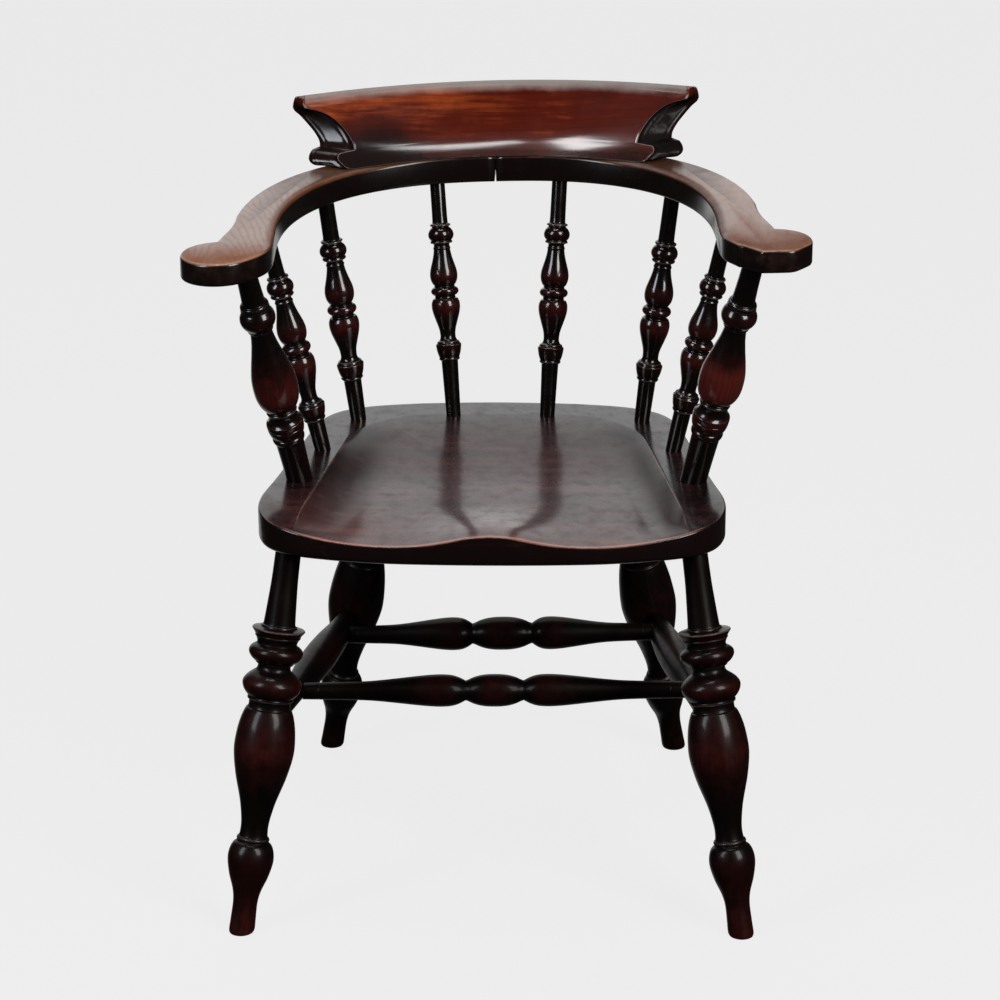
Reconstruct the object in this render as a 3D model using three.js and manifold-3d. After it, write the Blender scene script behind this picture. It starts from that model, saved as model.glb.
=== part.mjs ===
// A low-backed captain's chair with a saddled seat, turned legs and spindles,
// and a two-piece arm bow that carries a hollowed crest rail.
// Millimetres, seen from the front: x to the right, y to the back, z up.
// While it is built, x = 0 is the middle, y = 0 the seat's front edge and z = 0 the floor.

import * as THREE from 'three';
import { mergeVertices } from 'three/addons/utils/BufferGeometryUtils.js';
import Module from 'manifold-3d';

const wasm = await Module();
wasm.setup();

// Fits
const woodGap = 0.3; // between a tenon and its socket, and between resting faces
const cutOverrun = 20; // how far a cutter runs past what it cuts

// Seat
const seatHeight = 453;
const seatThickness = 37;
const seatWidth = 499;
const seatDepth = 442;
const seatEdgeRound = 7;
const dishDepth = 16;
const dishSideHalfFront = 214;
const dishSideHalfRear = 148;
const dishRearMargin = 45;
const dishCornerRadius = 92;
const dishShoulder = 44; // how far in from its edge the dish reaches its full depth
const pommelHeight = 13;
const pommelHalfWidth = 56;
const pommelLength = 170;
// Half of the seat's outline: x over half the width, y over the depth
const seatOutlineShares = [
  [0, 0], [0.25, 0.003], [0.49, 0.013], [0.7, 0.036], [0.85, 0.064], [0.949, 0.108], [0.994, 0.17],
  [1, 0.25], [0.956, 0.39], [0.9, 0.57], [0.85, 0.75], [0.81, 0.85], [0.74, 0.915],
  [0.62, 0.957], [0.42, 0.984], [0.2, 0.996], [0, 1],
];
// The seat's edge from its underside up: inset over the edge's rounding, height over the thickness
const seatEdgeShares = [[1, 0], [0.3, 0.06], [0, 0.22], [0, 0.74], [0.15, 0.88], [0.6, 0.97]];
const seatTopRingShares = [0.92, 0.86, 0.79, 0.7, 0.55, 0.3];

// Legs: where each enters the seat and how far its foot stands out from there
const legFrontSideInset = 34;
const legFrontInset = 68;
const footFrontSplay = 55;
const footFrontReach = 88;
const legRearSideInset = 112;
const legRearInset = 55;
const footRearSplay = 69;
const footRearReach = 91;
const legVaseRadius = 32.6;
const legTenonShare = 0.5; // of the seat's thickness

// Arm posts and spindles: where each enters the seat, over half its width and its depth
const postSeatShares = [0.857, 0.388];
const backSpindleSeatShares = [0.215, 0.891];
const cornerSpindleSeatShares = [0.653, 0.854];
const sideSpindleSeatShares = [0.784, 0.614];
const spindleTenonShare = 0.38; // of the seat's thickness
const bowTenonShare = 0.55; // of the bow's thickness at the hands
const postVaseRadius = 23.4;
const postPatternShare = 1.066; // length of the turned pattern from the seat up, over armHeight
const postTopOutset = 6; // outside the middle of the arm
const spindleRingRadius = 15.8;
const spindlePatternShare = 0.535; // from its lower bead to its upper bead, over armHeight
const backBeadShare = 0.279; // lower bead above the seat, along the spindle, over armHeight
const cornerBeadShare = 0.236;
const sideBeadShare = 0.198;

// Rails between the legs
const sideRailFrontAlong = 228; // up the front leg from its foot
const sideRailRearAlong = 198;
const sideRailRadius = 19;
const railTenonStop = 13; // from a leg's axis to the end of the rail's tenon
const crossRailRadius = 17.7;
const crossRailFrontShare = 0.3; // along the side rails, from the front leg's axis
const crossRailRearShare = 0.81;
const crossTenonStop = 3;
const crossTenonRadius = 6;
const crossTenonLength = 8;

// Arm bow
const armHeight = 258; // underside of the hand above the seat
const armThickness = 25;
const bowBackThickening = 5;
const bowSlopeShare = 0.0213; // rise of the underside to the back
const bowTiltShare = 0.027; // rise to the right: the bow sits a little out of level
const bowSkewShare = 0.022; // the bow sits a little askew, its hands to the right of its back
const bowSkewCentre = 320; // how far behind the seat's front edge it crosses the middle
const armOverhang = 33; // outside the widest part of the seat
const armWidth = 48;
const bowBackOverhang = 28; // behind the seat
const bowBackWidth = 38;
const bowBackReach = 264; // from where the arms start to bend to the inside of the back
const bowSquareness = 2.4; // exponent of the bow's curve, 2 is an ellipse
const handRadius = 40;
const handLead = 72; // centre of the hand ahead of the bend
const handOutset = 7; // centre of the hand outside the arm's outer edge
const neckArmLean = 70; // how far the neck's curve runs on straight from the arm
const neckHandLean = 35; // and from the hand
const neckCorner = 0.44; // angle on the hand's disc, past its inner side, where the neck meets it
const handCorner = 1.46; // angle on the hand's disc where the arm's outer edge meets it
const armEdgeRound = 3.5;
const bowBackSpindleShare = 0.267; // across the middle line of the bow
const bowCornerSpindleShare = 0.757;
const bowSideSpindleShare = 0.974;

// Dowel across the joint of the bow's halves
const dowelLength = 60; // shorter than the space between the middle screws
const dowelRadius = 6;

// Crest rail
const crestHeight = 72;
const crestHalfWidth = 230;
const crestFootDepth = 40; // front to back where it stands on the bow
const crestCrown = 3; // how much lower its ears are than its middle
const crestTopRound = 3.5;
const crestFrontRake = 48; // from the foot of its front face to the top of it
const crestBackRake = 22;
const crestTopFlattening = 0.5; // curve of the front face at the top over that at the bottom
const crestBackFlattening = 0.36;
const crestSagShare = 0.61; // of the bow's own curve, which the crest's foot follows
const crestSagWidthShare = 0.85; // where that is measured, across the bow's inside
// From the foot to the top: height share and rake share of the front face
const crestFrontShares = [[0, 0], [0.1, 0.19], [0.25, 0.38], [0.45, 0.59], [0.7, 0.8], [0.9, 0.96], [1, 1]];
const crestBackShares = [[0, 0], [0.35, 0.45], [0.6, 0.75], [0.9, 1], [1, 0.98]];
// The ear, cove and scroll at each end, from the foot to the top:
// front half width, front height, back half width and back height, as shares
const crestEndShares = [
  [0.706, 0, 0.868, 0], [0.749, 0.069, 0.906, 0.062], [0.774, 0.16, 0.917, 0.139],
  [0.766, 0.208, 0.902, 0.229], [0.694, 0.222, 0.864, 0.257], [0.702, 0.306, 0.868, 0.333],
  [0.726, 0.431, 0.889, 0.444], [0.762, 0.569, 0.923, 0.569], [0.821, 0.722, 0.966, 0.708],
  [0.902, 0.875, 1, 0.833], [0.94, 0.955, 0.985, 0.94],
];

// Screws from the bow into the crest
const screwLength = 45;
const screwHeadRadius = 5;
const screwShankRadius = 2.6;
const screwTipShare = 0.25;
const screwSlotWidth = 1.2;
const screwSink = 1; // head below the bow's underside
const screwSpreadShares = [-0.57, -0.18, 0.18, 0.57]; // across the crest
const screwDepthShare = 0.72; // from the front to the back of the crest's foot

// How finely round work is faceted
const legSides = 14;
const postSides = 14;
const spindleSides = 12;
const railSides = 12;
const screwSides = 8;
const seatSides = 48;
const bowSteps = 10;
const handSteps = 8;
const outlineSteps = 8; // between two points of the seat's outline
const crestSteps = 14;

// Turned patterns: distance along the piece and radius, as shares
const legTurningShares = [
  [-0.03, 0.41], [0, 0.415], [0.085, 0.41], [0.115, 0.47], [0.155, 0.66], [0.194, 0.764], [0.222, 0.7],
  [0.238, 0.49], [0.243, 0.545], [0.252, 0.47], [0.278, 0.46], [0.33, 0.57], [0.41, 0.86], [0.49, 1],
  [0.54, 0.93], [0.58, 0.74], [0.596, 0.7], [0.607, 0.84], [0.64, 0.98], [0.67, 0.85], [0.682, 0.55],
  [0.696, 0.57], [0.712, 0.82], [0.726, 0.9], [0.741, 0.78], [0.747, 0.67], [0.774, 0.86], [0.781, 0.85],
  [0.784, 0.52], [0.9, 0.425],
];
const postTurningShares = [
  [0, 0.54], [0.17, 0.6], [0.18, 0.7], [0.2, 0.7], [0.21, 0.63], [0.245, 0.82], [0.285, 0.83],
  [0.31, 0.6], [0.325, 0.66], [0.335, 0.64], [0.38, 0.86], [0.45, 1], [0.53, 0.93], [0.62, 0.66],
  [0.72, 0.46], [0.73, 0.56], [0.755, 0.68], [0.795, 0.765], [0.825, 0.64], [0.835, 0.62],
  [0.85, 0.49], [0.97, 0.4],
];
// The spindle's distances are over its bead spacing, from its lower bead
const spindleTurningShares = [
  [-0.095, 0.557], [-0.085, 0.66], [-0.06, 0.66], [-0.04, 0.8], [0.02, 0.88], [0.085, 0.66],
  [0.1, 0.51], [0.2, 0.62], [0.33, 0.94], [0.39, 1], [0.45, 0.8], [0.465, 0.66], [0.485, 0.92],
  [0.525, 0.92], [0.55, 0.66], [0.6, 0.96], [0.66, 1], [0.73, 0.82], [0.85, 0.54], [0.885, 0.72],
  [0.94, 0.79], [0.985, 0.93], [1.05, 0.68], [1.075, 0.52],
];
const spindleFootShare = 0.5; // radius at the seat over the ring's radius
// Rails: distance over half the length from the middle out, and radius share
const crossRailShares = [
  [0, 1], [0.07, 0.97], [0.115, 0.82], [0.142, 0.62], [0.168, 0.82], [0.21, 0.96], [0.26, 1], [0.36, 0.93],
  [0.5, 0.78], [0.66, 0.58], [0.8, 0.53],
];
const sideRailShares = [
  [0, 0.6], [0.2, 0.62], [0.32, 0.7], [0.45, 0.92], [0.57, 1], [0.7, 0.95], [0.85, 0.76], [1, 0.62],
];

// Finishes
const seatFinish = { color: 0x3a1d1c, roughness: 0.32, metalness: 0 };
const crestFinish = { color: 0x5a1d10, roughness: 0.3, metalness: 0 };
const armFinish = { color: 0x5b3428, roughness: 0.38, metalness: 0 };
const turnedFinish = { color: 0x240d0c, roughness: 0.28, metalness: 0 };
const dowelFinish = { color: 0xa88660, roughness: 0.7, metalness: 0 };
const screwFinish = { color: 0x5c5854, roughness: 0.5, metalness: 0.9 };

// Derived places
const seatHalf = seatWidth / 2;
const seatUnderside = seatHeight - seatThickness;
const bowOuterHalf = seatHalf + armOverhang;
const bowInnerHalf = bowOuterHalf - armWidth;
const bowInnerBack = seatDepth + bowBackOverhang - bowBackWidth;
const bendY = bowInnerBack - bowBackReach;
const spindlePattern = spindlePatternShare * armHeight;
const spindleTenonDepth = spindleTenonShare * seatThickness;
const bowTenonDepth = bowTenonShare * armThickness;
const handX = bowOuterHalf + handOutset;
const handY = bendY - handLead;

// Solids
function solidOf(geometry) {
  const bare = geometry.index ? geometry.toNonIndexed() : geometry.clone();
  bare.deleteAttribute('normal');
  bare.deleteAttribute('uv');
  const merged = mergeVertices(bare);
  return new wasm.Manifold(new wasm.Mesh({
    numProp: 3,
    vertProperties: new Float32Array(merged.attributes.position.array),
    triVerts: new Uint32Array(merged.index.array),
  }));
}

function geometryOf(solid) {
  const mesh = solid.getMesh();
  const geometry = new THREE.BufferGeometry();
  geometry.setAttribute('position', new THREE.BufferAttribute(new Float32Array(mesh.vertProperties), 3));
  geometry.setIndex(new THREE.BufferAttribute(new Uint32Array(mesh.triVerts), 1));
  geometry.computeVertexNormals();
  return geometry;
}

function boxBetween(low, high) {
  const size = high.clone().sub(low);
  const middle = low.clone().add(high).multiplyScalar(0.5);
  return solidOf(new THREE.BoxGeometry(size.x, size.y, size.z).translate(middle.x, middle.y, middle.z));
}

function warp(geometry, moveVertex) {
  const places = geometry.attributes.position;
  const point = new THREE.Vector3();
  for (let i = 0; i < places.count; i += 1) {
    point.fromBufferAttribute(places, i);
    moveVertex(point);
    places.setXYZ(i, point.x, point.y, point.z);
  }
  return geometry;
}

// A turned solid along the line from foot towards top; profile rows are [along, radius]
function turned(profile, foot, top, sides, grow = 0) {
  const last = profile.length - 1;
  const outline = profile.map(([along, radius]) => new THREE.Vector2(radius + grow, along));
  outline[0].y -= grow;
  outline[last].y += grow;
  outline.unshift(new THREE.Vector2(0, outline[0].y));
  outline.push(new THREE.Vector2(0, outline[last + 1].y));
  const axis = top.clone().sub(foot).normalize();
  const turn = new THREE.Quaternion().setFromUnitVectors(new THREE.Vector3(0, 1, 0), axis);
  const place = new THREE.Matrix4().compose(foot, turn, new THREE.Vector3(1, 1, 1));
  return solidOf(new THREE.LatheGeometry(outline, sides).applyMatrix4(place));
}

function lerpTable(table, at) {
  const next = table.findIndex(([position]) => position >= at);
  if (next <= 0) return table[next === 0 ? 0 : table.length - 1][1];
  const [fromPosition, fromValue] = table[next - 1];
  const [toPosition, toValue] = table[next];
  return THREE.MathUtils.mapLinear(at, fromPosition, toPosition, fromValue, toValue);
}

// Seat: a round blank of rings, pushed out to the outline and sunk to the saddle
function seatOutline() {
  const half = seatOutlineShares.map(([x, y]) => new THREE.Vector2(x * seatHalf, y * seatDepth));
  const other = half.slice(1, -1).reverse().map((point) => new THREE.Vector2(-point.x, point.y));
  const ring = [...half, ...other].map((point) => new THREE.Vector3(point.x, point.y, 0));
  return new THREE.CatmullRomCurve3(ring, true).getPoints(ring.length * outlineSteps);
}

function saddleDepth(x, y) {
  const halfWidth = THREE.MathUtils.mapLinear(y, 0, seatDepth, dishSideHalfFront, dishSideHalfRear);
  const side = halfWidth - Math.abs(x);
  const rear = seatDepth - dishRearMargin - y;
  const corner = Math.hypot(
    Math.max(dishCornerRadius - side, 0),
    Math.max(dishCornerRadius - rear, 0),
  );
  const inside = Math.min(side, rear, dishCornerRadius - corner);
  const slope = THREE.MathUtils.clamp(inside / dishShoulder, 0, 1);
  const dish = dishDepth * (1 - (1 - slope) ** 2);
  const ridge = 1 - THREE.MathUtils.smoothstep(y, 0, pommelLength);
  return dish - pommelHeight * Math.exp(-((x / pommelHalfWidth) ** 2)) * ridge * slope;
}

function seatBlank() {
  const outline = seatOutline();
  const centre = new THREE.Vector2(0, seatDepth / 2);
  const bearings = outline.map((point) => Math.atan2(point.y - centre.y, point.x - centre.x));
  const reaches = outline.map((point) => Math.hypot(point.x - centre.x, point.y - centre.y));
  const table = bearings.map((bearing, i) => [bearing, reaches[i]]).sort((a, b) => a[0] - b[0]);
  const [first, last] = [table[0], table[table.length - 1]];
  const turn = Math.PI * 2;
  const reachTable = [[last[0] - turn, last[1]], ...table, [first[0] + turn, first[1]]];

  const edge = seatEdgeShares.map(([inset, level]) => [1 - inset * seatEdgeRound / seatHalf, level]);
  const topRings = seatTopRingShares.map((share) => [share, 1]);
  const rings = [[0, 0], ...edge, ...topRings, [0, 1]];
  const points = rings.map(([share, level]) => new THREE.Vector2(share, level));
  const blank = new THREE.LatheGeometry(points, seatSides).rotateX(Math.PI / 2);
  return solidOf(warp(blank, (point) => {
    const bearing = Math.atan2(point.y, point.x);
    const reach = Math.hypot(point.x, point.y) * lerpTable(reachTable, bearing);
    point.x = centre.x + Math.cos(bearing) * reach;
    point.y = centre.y + Math.sin(bearing) * reach;
    point.z = seatUnderside + point.z * (seatThickness - saddleDepth(point.x, point.y));
  }));
}

// Legs
function legEnds(side, isFront) {
  const sideInset = isFront ? legFrontSideInset : legRearSideInset;
  const y = isFront ? legFrontInset : seatDepth - legRearInset;
  const splay = isFront ? footFrontSplay : footRearSplay;
  const reach = isFront ? -footFrontReach : footRearReach;
  const top = new THREE.Vector3(side * (seatHalf - sideInset), y, seatUnderside);
  const foot = new THREE.Vector3(top.x + side * splay, y + reach, 0);
  return { foot, top };
}

function legSolid(side, isFront, grow = 0) {
  const { foot, top } = legEnds(side, isFront);
  const length = top.distanceTo(foot);
  const tenonEnd = length + legTenonShare * seatThickness;
  const profile = legTurningShares.map(([along, radius]) => [along * length, radius * legVaseRadius]);
  profile.push([tenonEnd, profile[profile.length - 1][1]]);
  return turned(profile, foot, top, legSides, grow);
}

function alongLeg(side, isFront, distance) {
  const { foot, top } = legEnds(side, isFront);
  return foot.clone().add(top.sub(foot).setLength(distance));
}

// Rails
function sideRailEnds(side) {
  return {
    front: alongLeg(side, true, sideRailFrontAlong),
    rear: alongLeg(side, false, sideRailRearAlong),
  };
}

function sideRailSolid(side, grow = 0) {
  const { front, rear } = sideRailEnds(side);
  const span = rear.distanceTo(front) - railTenonStop * 2;
  const profile = sideRailShares.map(([along, radius]) => (
    [railTenonStop + along * span, radius * sideRailRadius]
  ));
  return turned(profile, front, rear, railSides, grow);
}

function crossRailSolid(share, grow = 0) {
  const ends = [-1, 1].map((side) => {
    const { front, rear } = sideRailEnds(side);
    return front.lerp(rear, share);
  });
  const half = ends[0].distanceTo(ends[1]) / 2;
  const shoulder = half - crossTenonStop - crossTenonLength;
  const shares = crossRailShares.slice(1);
  const right = shares.map(([along, radius]) => [half + along * half, radius * crossRailRadius]);
  const endRadius = right[right.length - 1][1];
  right.push([half + shoulder, endRadius]);
  right.push([half + shoulder, crossTenonRadius]);
  right.push([half + half - crossTenonStop, crossTenonRadius]);
  const left = right.map(([along, radius]) => [half * 2 - along, radius]).reverse();
  const profile = [...left, [half, crossRailRadius], ...right];
  return turned(profile, ends[0], ends[1], railSides, grow);
}

// Arm bow: its underside and top are flat, tipped planes
function bowUnderside(x, y) {
  const handFront = handY - handRadius;
  return seatHeight + armHeight + bowSlopeShare * (y - handFront) + bowTiltShare * x;
}

function bowThickness(y) {
  const handFront = handY - handRadius;
  return armThickness + bowBackThickening * (y - handFront) / (bowInnerBack - handFront);
}

function bowTop(x, y) {
  return bowUnderside(x, y) + bowThickness(y);
}

function bowSkew(y) {
  return bowSkewShare * (bowSkewCentre - y);
}

// Quarter of a squared ellipse behind the bend, from the back (turn = 0) to the arm (turn = 1)
function bowCurve(half, reach, turn) {
  const angle = (1 - turn) * Math.PI / 2;
  const power = 2 / bowSquareness;
  return new THREE.Vector2(half * Math.cos(angle) ** power, bendY + reach * Math.sin(angle) ** power);
}

function squaredArc(share) {
  return (1 - Math.abs(share) ** bowSquareness) ** (1 / bowSquareness);
}

function bowMiddle(share) {
  const half = (bowInnerHalf + bowOuterHalf) / 2;
  const reach = bowBackReach + bowBackWidth / 2;
  return new THREE.Vector2(half * share, bendY + reach * squaredArc(share));
}

function bowHalfOutline() {
  const turns = Array.from({ length: bowSteps }, (_, i) => (i + 1) / bowSteps);
  const inner = turns.map((turn) => bowCurve(bowInnerHalf, bowBackReach, turn));
  const outer = turns.map((turn) => bowCurve(bowOuterHalf, bowBackReach + bowBackWidth, turn)).reverse();
  const neckAngle = Math.PI + neckCorner;
  const neckEnd = new THREE.Vector2(
    handX + handRadius * Math.cos(neckAngle),
    handY + handRadius * Math.sin(neckAngle),
  );
  const shape = new THREE.Shape();
  shape.moveTo(-cutOverrun, bowInnerBack);
  shape.lineTo(0, bowInnerBack);
  inner.forEach((point) => shape.lineTo(point.x, point.y));
  shape.bezierCurveTo(
    bowInnerHalf, bendY - neckArmLean,
    neckEnd.x - neckHandLean * Math.sin(neckCorner), neckEnd.y + neckHandLean * Math.cos(neckCorner),
    neckEnd.x, neckEnd.y,
  );
  shape.absarc(handX, handY, handRadius, neckAngle, Math.PI * 2 + handCorner, false);
  outer.forEach((point) => shape.lineTo(point.x, point.y));
  shape.lineTo(0, bowInnerBack + bowBackWidth);
  shape.lineTo(-cutOverrun, bowInnerBack + bowBackWidth);
  return shape;
}

function bowHalfSolid(side) {
  const right = bowHalfOutline().extractPoints(handSteps).shape;
  const outline = side > 0 ? right : right.map((point) => new THREE.Vector2(-point.x, point.y)).reverse();
  const blank = new THREE.ExtrudeGeometry(new THREE.Shape(outline), {
    depth: armThickness - armEdgeRound * 2,
    bevelThickness: armEdgeRound,
    bevelSize: armEdgeRound,
    bevelOffset: -armEdgeRound,
    bevelSegments: 1,
  });
  const placed = warp(blank.translate(0, 0, armEdgeRound), (point) => {
    const share = point.z / armThickness;
    point.x += bowSkew(point.y);
    point.z = bowUnderside(point.x, point.y) + share * bowThickness(point.y);
  });
  const jointX = bowJoint().x + side * woodGap / 2;
  const farX = side * seatWidth;
  const low = new THREE.Vector3(Math.min(jointX, farX), -seatDepth, 0);
  const high = new THREE.Vector3(Math.max(jointX, farX), seatDepth * 2, seatHeight * 2);
  return solidOf(placed).intersect(boxBetween(low, high));
}

function bowJoint() {
  const y = bowInnerBack + bowBackWidth / 2;
  const x = bowSkew(y);
  return new THREE.Vector3(x, y, bowUnderside(x, y) + bowThickness(y) / 2);
}

function dowelSolid(grow = 0) {
  const start = bowJoint();
  const end = bowJoint();
  start.x -= dowelLength / 2;
  end.x += dowelLength / 2;
  return turned([[0, dowelRadius], [dowelLength, dowelRadius]], start, end, railSides, grow);
}

// Posts and spindles, from the seat up into the bow
function seatPlace(side, shares) {
  return new THREE.Vector3(side * shares[0] * seatHalf, shares[1] * seatDepth, seatHeight);
}

function bowPlace(x, y) {
  return new THREE.Vector3(x, y, bowUnderside(x, y));
}

function postEnds(side) {
  const middleX = (bowInnerHalf + bowOuterHalf) / 2 + postTopOutset;
  const top = bowPlace(side * middleX + bowSkew(handY), handY);
  return { foot: seatPlace(side, postSeatShares), top };
}

function postSolid(side, grow = 0) {
  const { foot, top } = postEnds(side);
  const length = top.distanceTo(foot);
  const patternLength = postPatternShare * armHeight;
  const profile = postTurningShares.map(([along, radius]) => (
    [along * patternLength, radius * postVaseRadius]
  ));
  profile.unshift([-spindleTenonDepth, profile[0][1]]);
  profile.push([length + bowTenonDepth, profile[profile.length - 1][1]]);
  return turned(profile, foot, top, postSides, grow);
}

const spindleKinds = [
  { name: 'side', seat: sideSpindleSeatShares, bow: bowSideSpindleShare, bead: sideBeadShare },
  { name: 'corner', seat: cornerSpindleSeatShares, bow: bowCornerSpindleShare, bead: cornerBeadShare },
  { name: 'back', seat: backSpindleSeatShares, bow: bowBackSpindleShare, bead: backBeadShare },
];

function spindleSolid(side, kind, grow = 0) {
  const foot = seatPlace(side, kind.seat);
  const middle = bowMiddle(side * kind.bow);
  const top = bowPlace(middle.x, middle.y);
  const length = top.distanceTo(foot);
  const turning = spindleTurningShares.map(([along, radius]) => (
    [kind.bead * armHeight + along * spindlePattern, radius * spindleRingRadius]
  ));
  const footRadius = spindleFootShare * spindleRingRadius;
  const topRadius = turning[turning.length - 1][1];
  const profile = [
    [-spindleTenonDepth, footRadius],
    ...turning,
    [length + bowTenonDepth, topRadius],
  ];
  return turned(profile, foot, top, spindleSides, grow);
}

// Crest rail: a slab of rows from foot to top, warped to its two hollow faces and its coved ends
function crestCurve(x) {
  const bowCurveThere = bowBackReach * (1 - squaredArc(crestSagWidthShare));
  const sagX = crestSagWidthShare * bowInnerHalf;
  return crestSagShare * bowCurveThere * (x / sagX) ** 2;
}

function crestFront(x, share) {
  const rake = crestFrontRake * lerpTable(crestFrontShares, share);
  return bowInnerBack + rake - crestCurve(x) * THREE.MathUtils.lerp(1, crestTopFlattening, share);
}

function crestBack(x, share) {
  const rake = crestBackRake * lerpTable(crestBackShares, share);
  const foot = bowInnerBack + crestFootDepth;
  return foot + rake - crestCurve(x) * THREE.MathUtils.lerp(1, crestBackFlattening, share);
}

function crestSolid() {
  const rows = crestEndShares.length - 1;
  const blank = new THREE.BoxGeometry(1, 1, rows, crestSteps, 2, rows);
  const shaped = warp(blank, (point) => {
    const row = crestEndShares[Math.round(point.z + rows / 2)];
    const depthShare = point.y + 0.5;
    const across = point.x * 2;
    const front = { x: across * row[0] * crestHalfWidth, share: row[1] };
    const back = { x: across * row[2] * crestHalfWidth, share: row[3] };
    const frontY = crestFront(front.x, front.share);
    const backY = crestBack(back.x, back.share);
    const y = THREE.MathUtils.lerp(frontY, backY, depthShare);
    const x = THREE.MathUtils.lerp(front.x, back.x, depthShare) + bowSkew(y);
    const isTop = row === crestEndShares[rows];
    const ridge = isTop && depthShare === 0.5 ? crestTopRound : 0;
    const heightShare = THREE.MathUtils.lerp(front.share, back.share, depthShare);
    const height = heightShare * (crestHeight - crestCrown * across ** 2);
    point.set(x, y, bowTop(x, y) + woodGap + height + ridge);
  });
  return solidOf(shaped);
}

// Screws, driven up through the bow into the thick of the crest behind its hollow face
function screwHead(share) {
  const x = share * crestHalfWidth;
  const y = THREE.MathUtils.lerp(crestFront(x, 0), crestBack(x, 0), screwDepthShare);
  const head = bowPlace(x + bowSkew(y), y);
  head.z += screwSink;
  return head;
}

function screwSolid(share, grow = 0) {
  const head = screwHead(share);
  const tip = head.clone();
  tip.z += screwLength;
  const headDepth = screwHeadRadius - screwShankRadius;
  const profile = [
    [0, screwHeadRadius],
    [headDepth, screwShankRadius],
    [screwLength - screwShankRadius * 2, screwShankRadius],
    [screwLength, screwShankRadius * screwTipShare],
  ];
  return turned(profile, head, tip, screwSides, grow);
}

function screwHeadRecess(share) {
  const mouth = screwHead(share);
  mouth.z += woodGap;
  const below = mouth.clone();
  below.z -= cutOverrun;
  return turned([[0, screwHeadRadius], [cutOverrun, screwHeadRadius]], mouth, below, screwSides, woodGap);
}

function slottedScrew(share) {
  const { x, y, z } = screwHead(share);
  const low = new THREE.Vector3(x - cutOverrun, y - screwSlotWidth / 2, z - cutOverrun);
  const high = new THREE.Vector3(x + cutOverrun, y + screwSlotWidth / 2, z + screwSlotWidth);
  return screwSolid(share).subtract(boxBetween(low, high));
}

// Assembly
const chair = new THREE.Group();

function addPiece(name, solid, finish) {
  const mesh = new THREE.Mesh(geometryOf(solid), new THREE.MeshStandardMaterial(finish));
  mesh.name = name;
  chair.add(mesh);
}

const sides = [
  { side: -1, word: 'left' },
  { side: 1, word: 'right' },
];
const floorLow = new THREE.Vector3(-seatWidth, -seatDepth, -seatHeight);
const floorHigh = new THREE.Vector3(seatWidth, seatDepth * 2, 0);
const floor = boxBetween(floorLow, floorHigh);

let seat = seatBlank();
let crest = crestSolid();
screwSpreadShares.forEach((share, i) => {
  crest = crest.subtract(screwSolid(share, woodGap));
  addPiece(`crest_screw_${i + 1}`, slottedScrew(share), screwFinish);
});
addPiece('crest_rail', crest, crestFinish);
addPiece('bow_joint_dowel', dowelSolid(), dowelFinish);

sides.forEach(({ side, word }) => {
  let bow = bowHalfSolid(side).subtract(dowelSolid(woodGap));
  spindleKinds.forEach((kind) => {
    addPiece(`spindle_${kind.name}_${word}`, spindleSolid(side, kind), turnedFinish);
    const socket = spindleSolid(side, kind, woodGap);
    bow = bow.subtract(socket);
    seat = seat.subtract(socket);
  });
  addPiece(`arm_post_${word}`, postSolid(side), turnedFinish);
  const postSocket = postSolid(side, woodGap);
  bow = bow.subtract(postSocket);
  seat = seat.subtract(postSocket);
  screwSpreadShares.filter((share) => share * side > 0).forEach((share) => {
    bow = bow.subtract(screwSolid(share, woodGap)).subtract(screwHeadRecess(share));
  });
  addPiece(`arm_bow_${word}`, bow, armFinish);

  const railSocket = sideRailSolid(side, woodGap);
  [true, false].forEach((isFront) => {
    const leg = legSolid(side, isFront).subtract(floor).subtract(railSocket);
    addPiece(`leg_${isFront ? 'front' : 'rear'}_${word}`, leg, turnedFinish);
    seat = seat.subtract(legSolid(side, isFront, woodGap));
  });
  const rail = sideRailSolid(side)
    .subtract(crossRailSolid(crossRailFrontShare, woodGap))
    .subtract(crossRailSolid(crossRailRearShare, woodGap));
  addPiece(`side_stretcher_${word}`, rail, turnedFinish);
});

addPiece('cross_stretcher_front', crossRailSolid(crossRailFrontShare), turnedFinish);
addPiece('cross_stretcher_rear', crossRailSolid(crossRailRearShare), turnedFinish);
addPiece('seat', seat, seatFinish);

// The origin moves to the middle of the chair's footprint box, on the floor
const box = new THREE.Box3().setFromObject(chair);
const middle = box.getCenter(new THREE.Vector3());
chair.position.set(-middle.x, -middle.y, -box.min.z);
chair.updateMatrixWorld(true);

export default chair;
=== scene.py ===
import random
from math import atan2, cos, dist, exp, hypot, pi, radians, sin, tau

import bmesh
import bpy
from mathutils import Matrix, Vector


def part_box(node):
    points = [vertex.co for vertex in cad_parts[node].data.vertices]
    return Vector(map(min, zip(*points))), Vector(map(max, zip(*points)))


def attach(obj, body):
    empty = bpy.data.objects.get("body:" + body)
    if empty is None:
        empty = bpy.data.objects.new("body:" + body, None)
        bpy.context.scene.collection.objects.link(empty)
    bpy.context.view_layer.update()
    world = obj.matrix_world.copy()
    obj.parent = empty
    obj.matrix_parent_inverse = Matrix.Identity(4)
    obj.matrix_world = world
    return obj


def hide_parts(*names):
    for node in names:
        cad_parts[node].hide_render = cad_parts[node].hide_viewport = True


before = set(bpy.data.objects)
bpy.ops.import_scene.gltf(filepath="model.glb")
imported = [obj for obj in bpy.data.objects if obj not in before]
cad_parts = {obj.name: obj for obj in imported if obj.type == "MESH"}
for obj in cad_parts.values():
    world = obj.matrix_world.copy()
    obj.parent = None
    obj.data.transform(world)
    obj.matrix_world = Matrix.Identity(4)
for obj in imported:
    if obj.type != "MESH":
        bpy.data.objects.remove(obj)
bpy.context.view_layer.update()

# The drawing is in millimetres: x = 0 is the middle of the seat, y = 0 its front edge, z = 0 the floor
mm = 0.001
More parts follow.
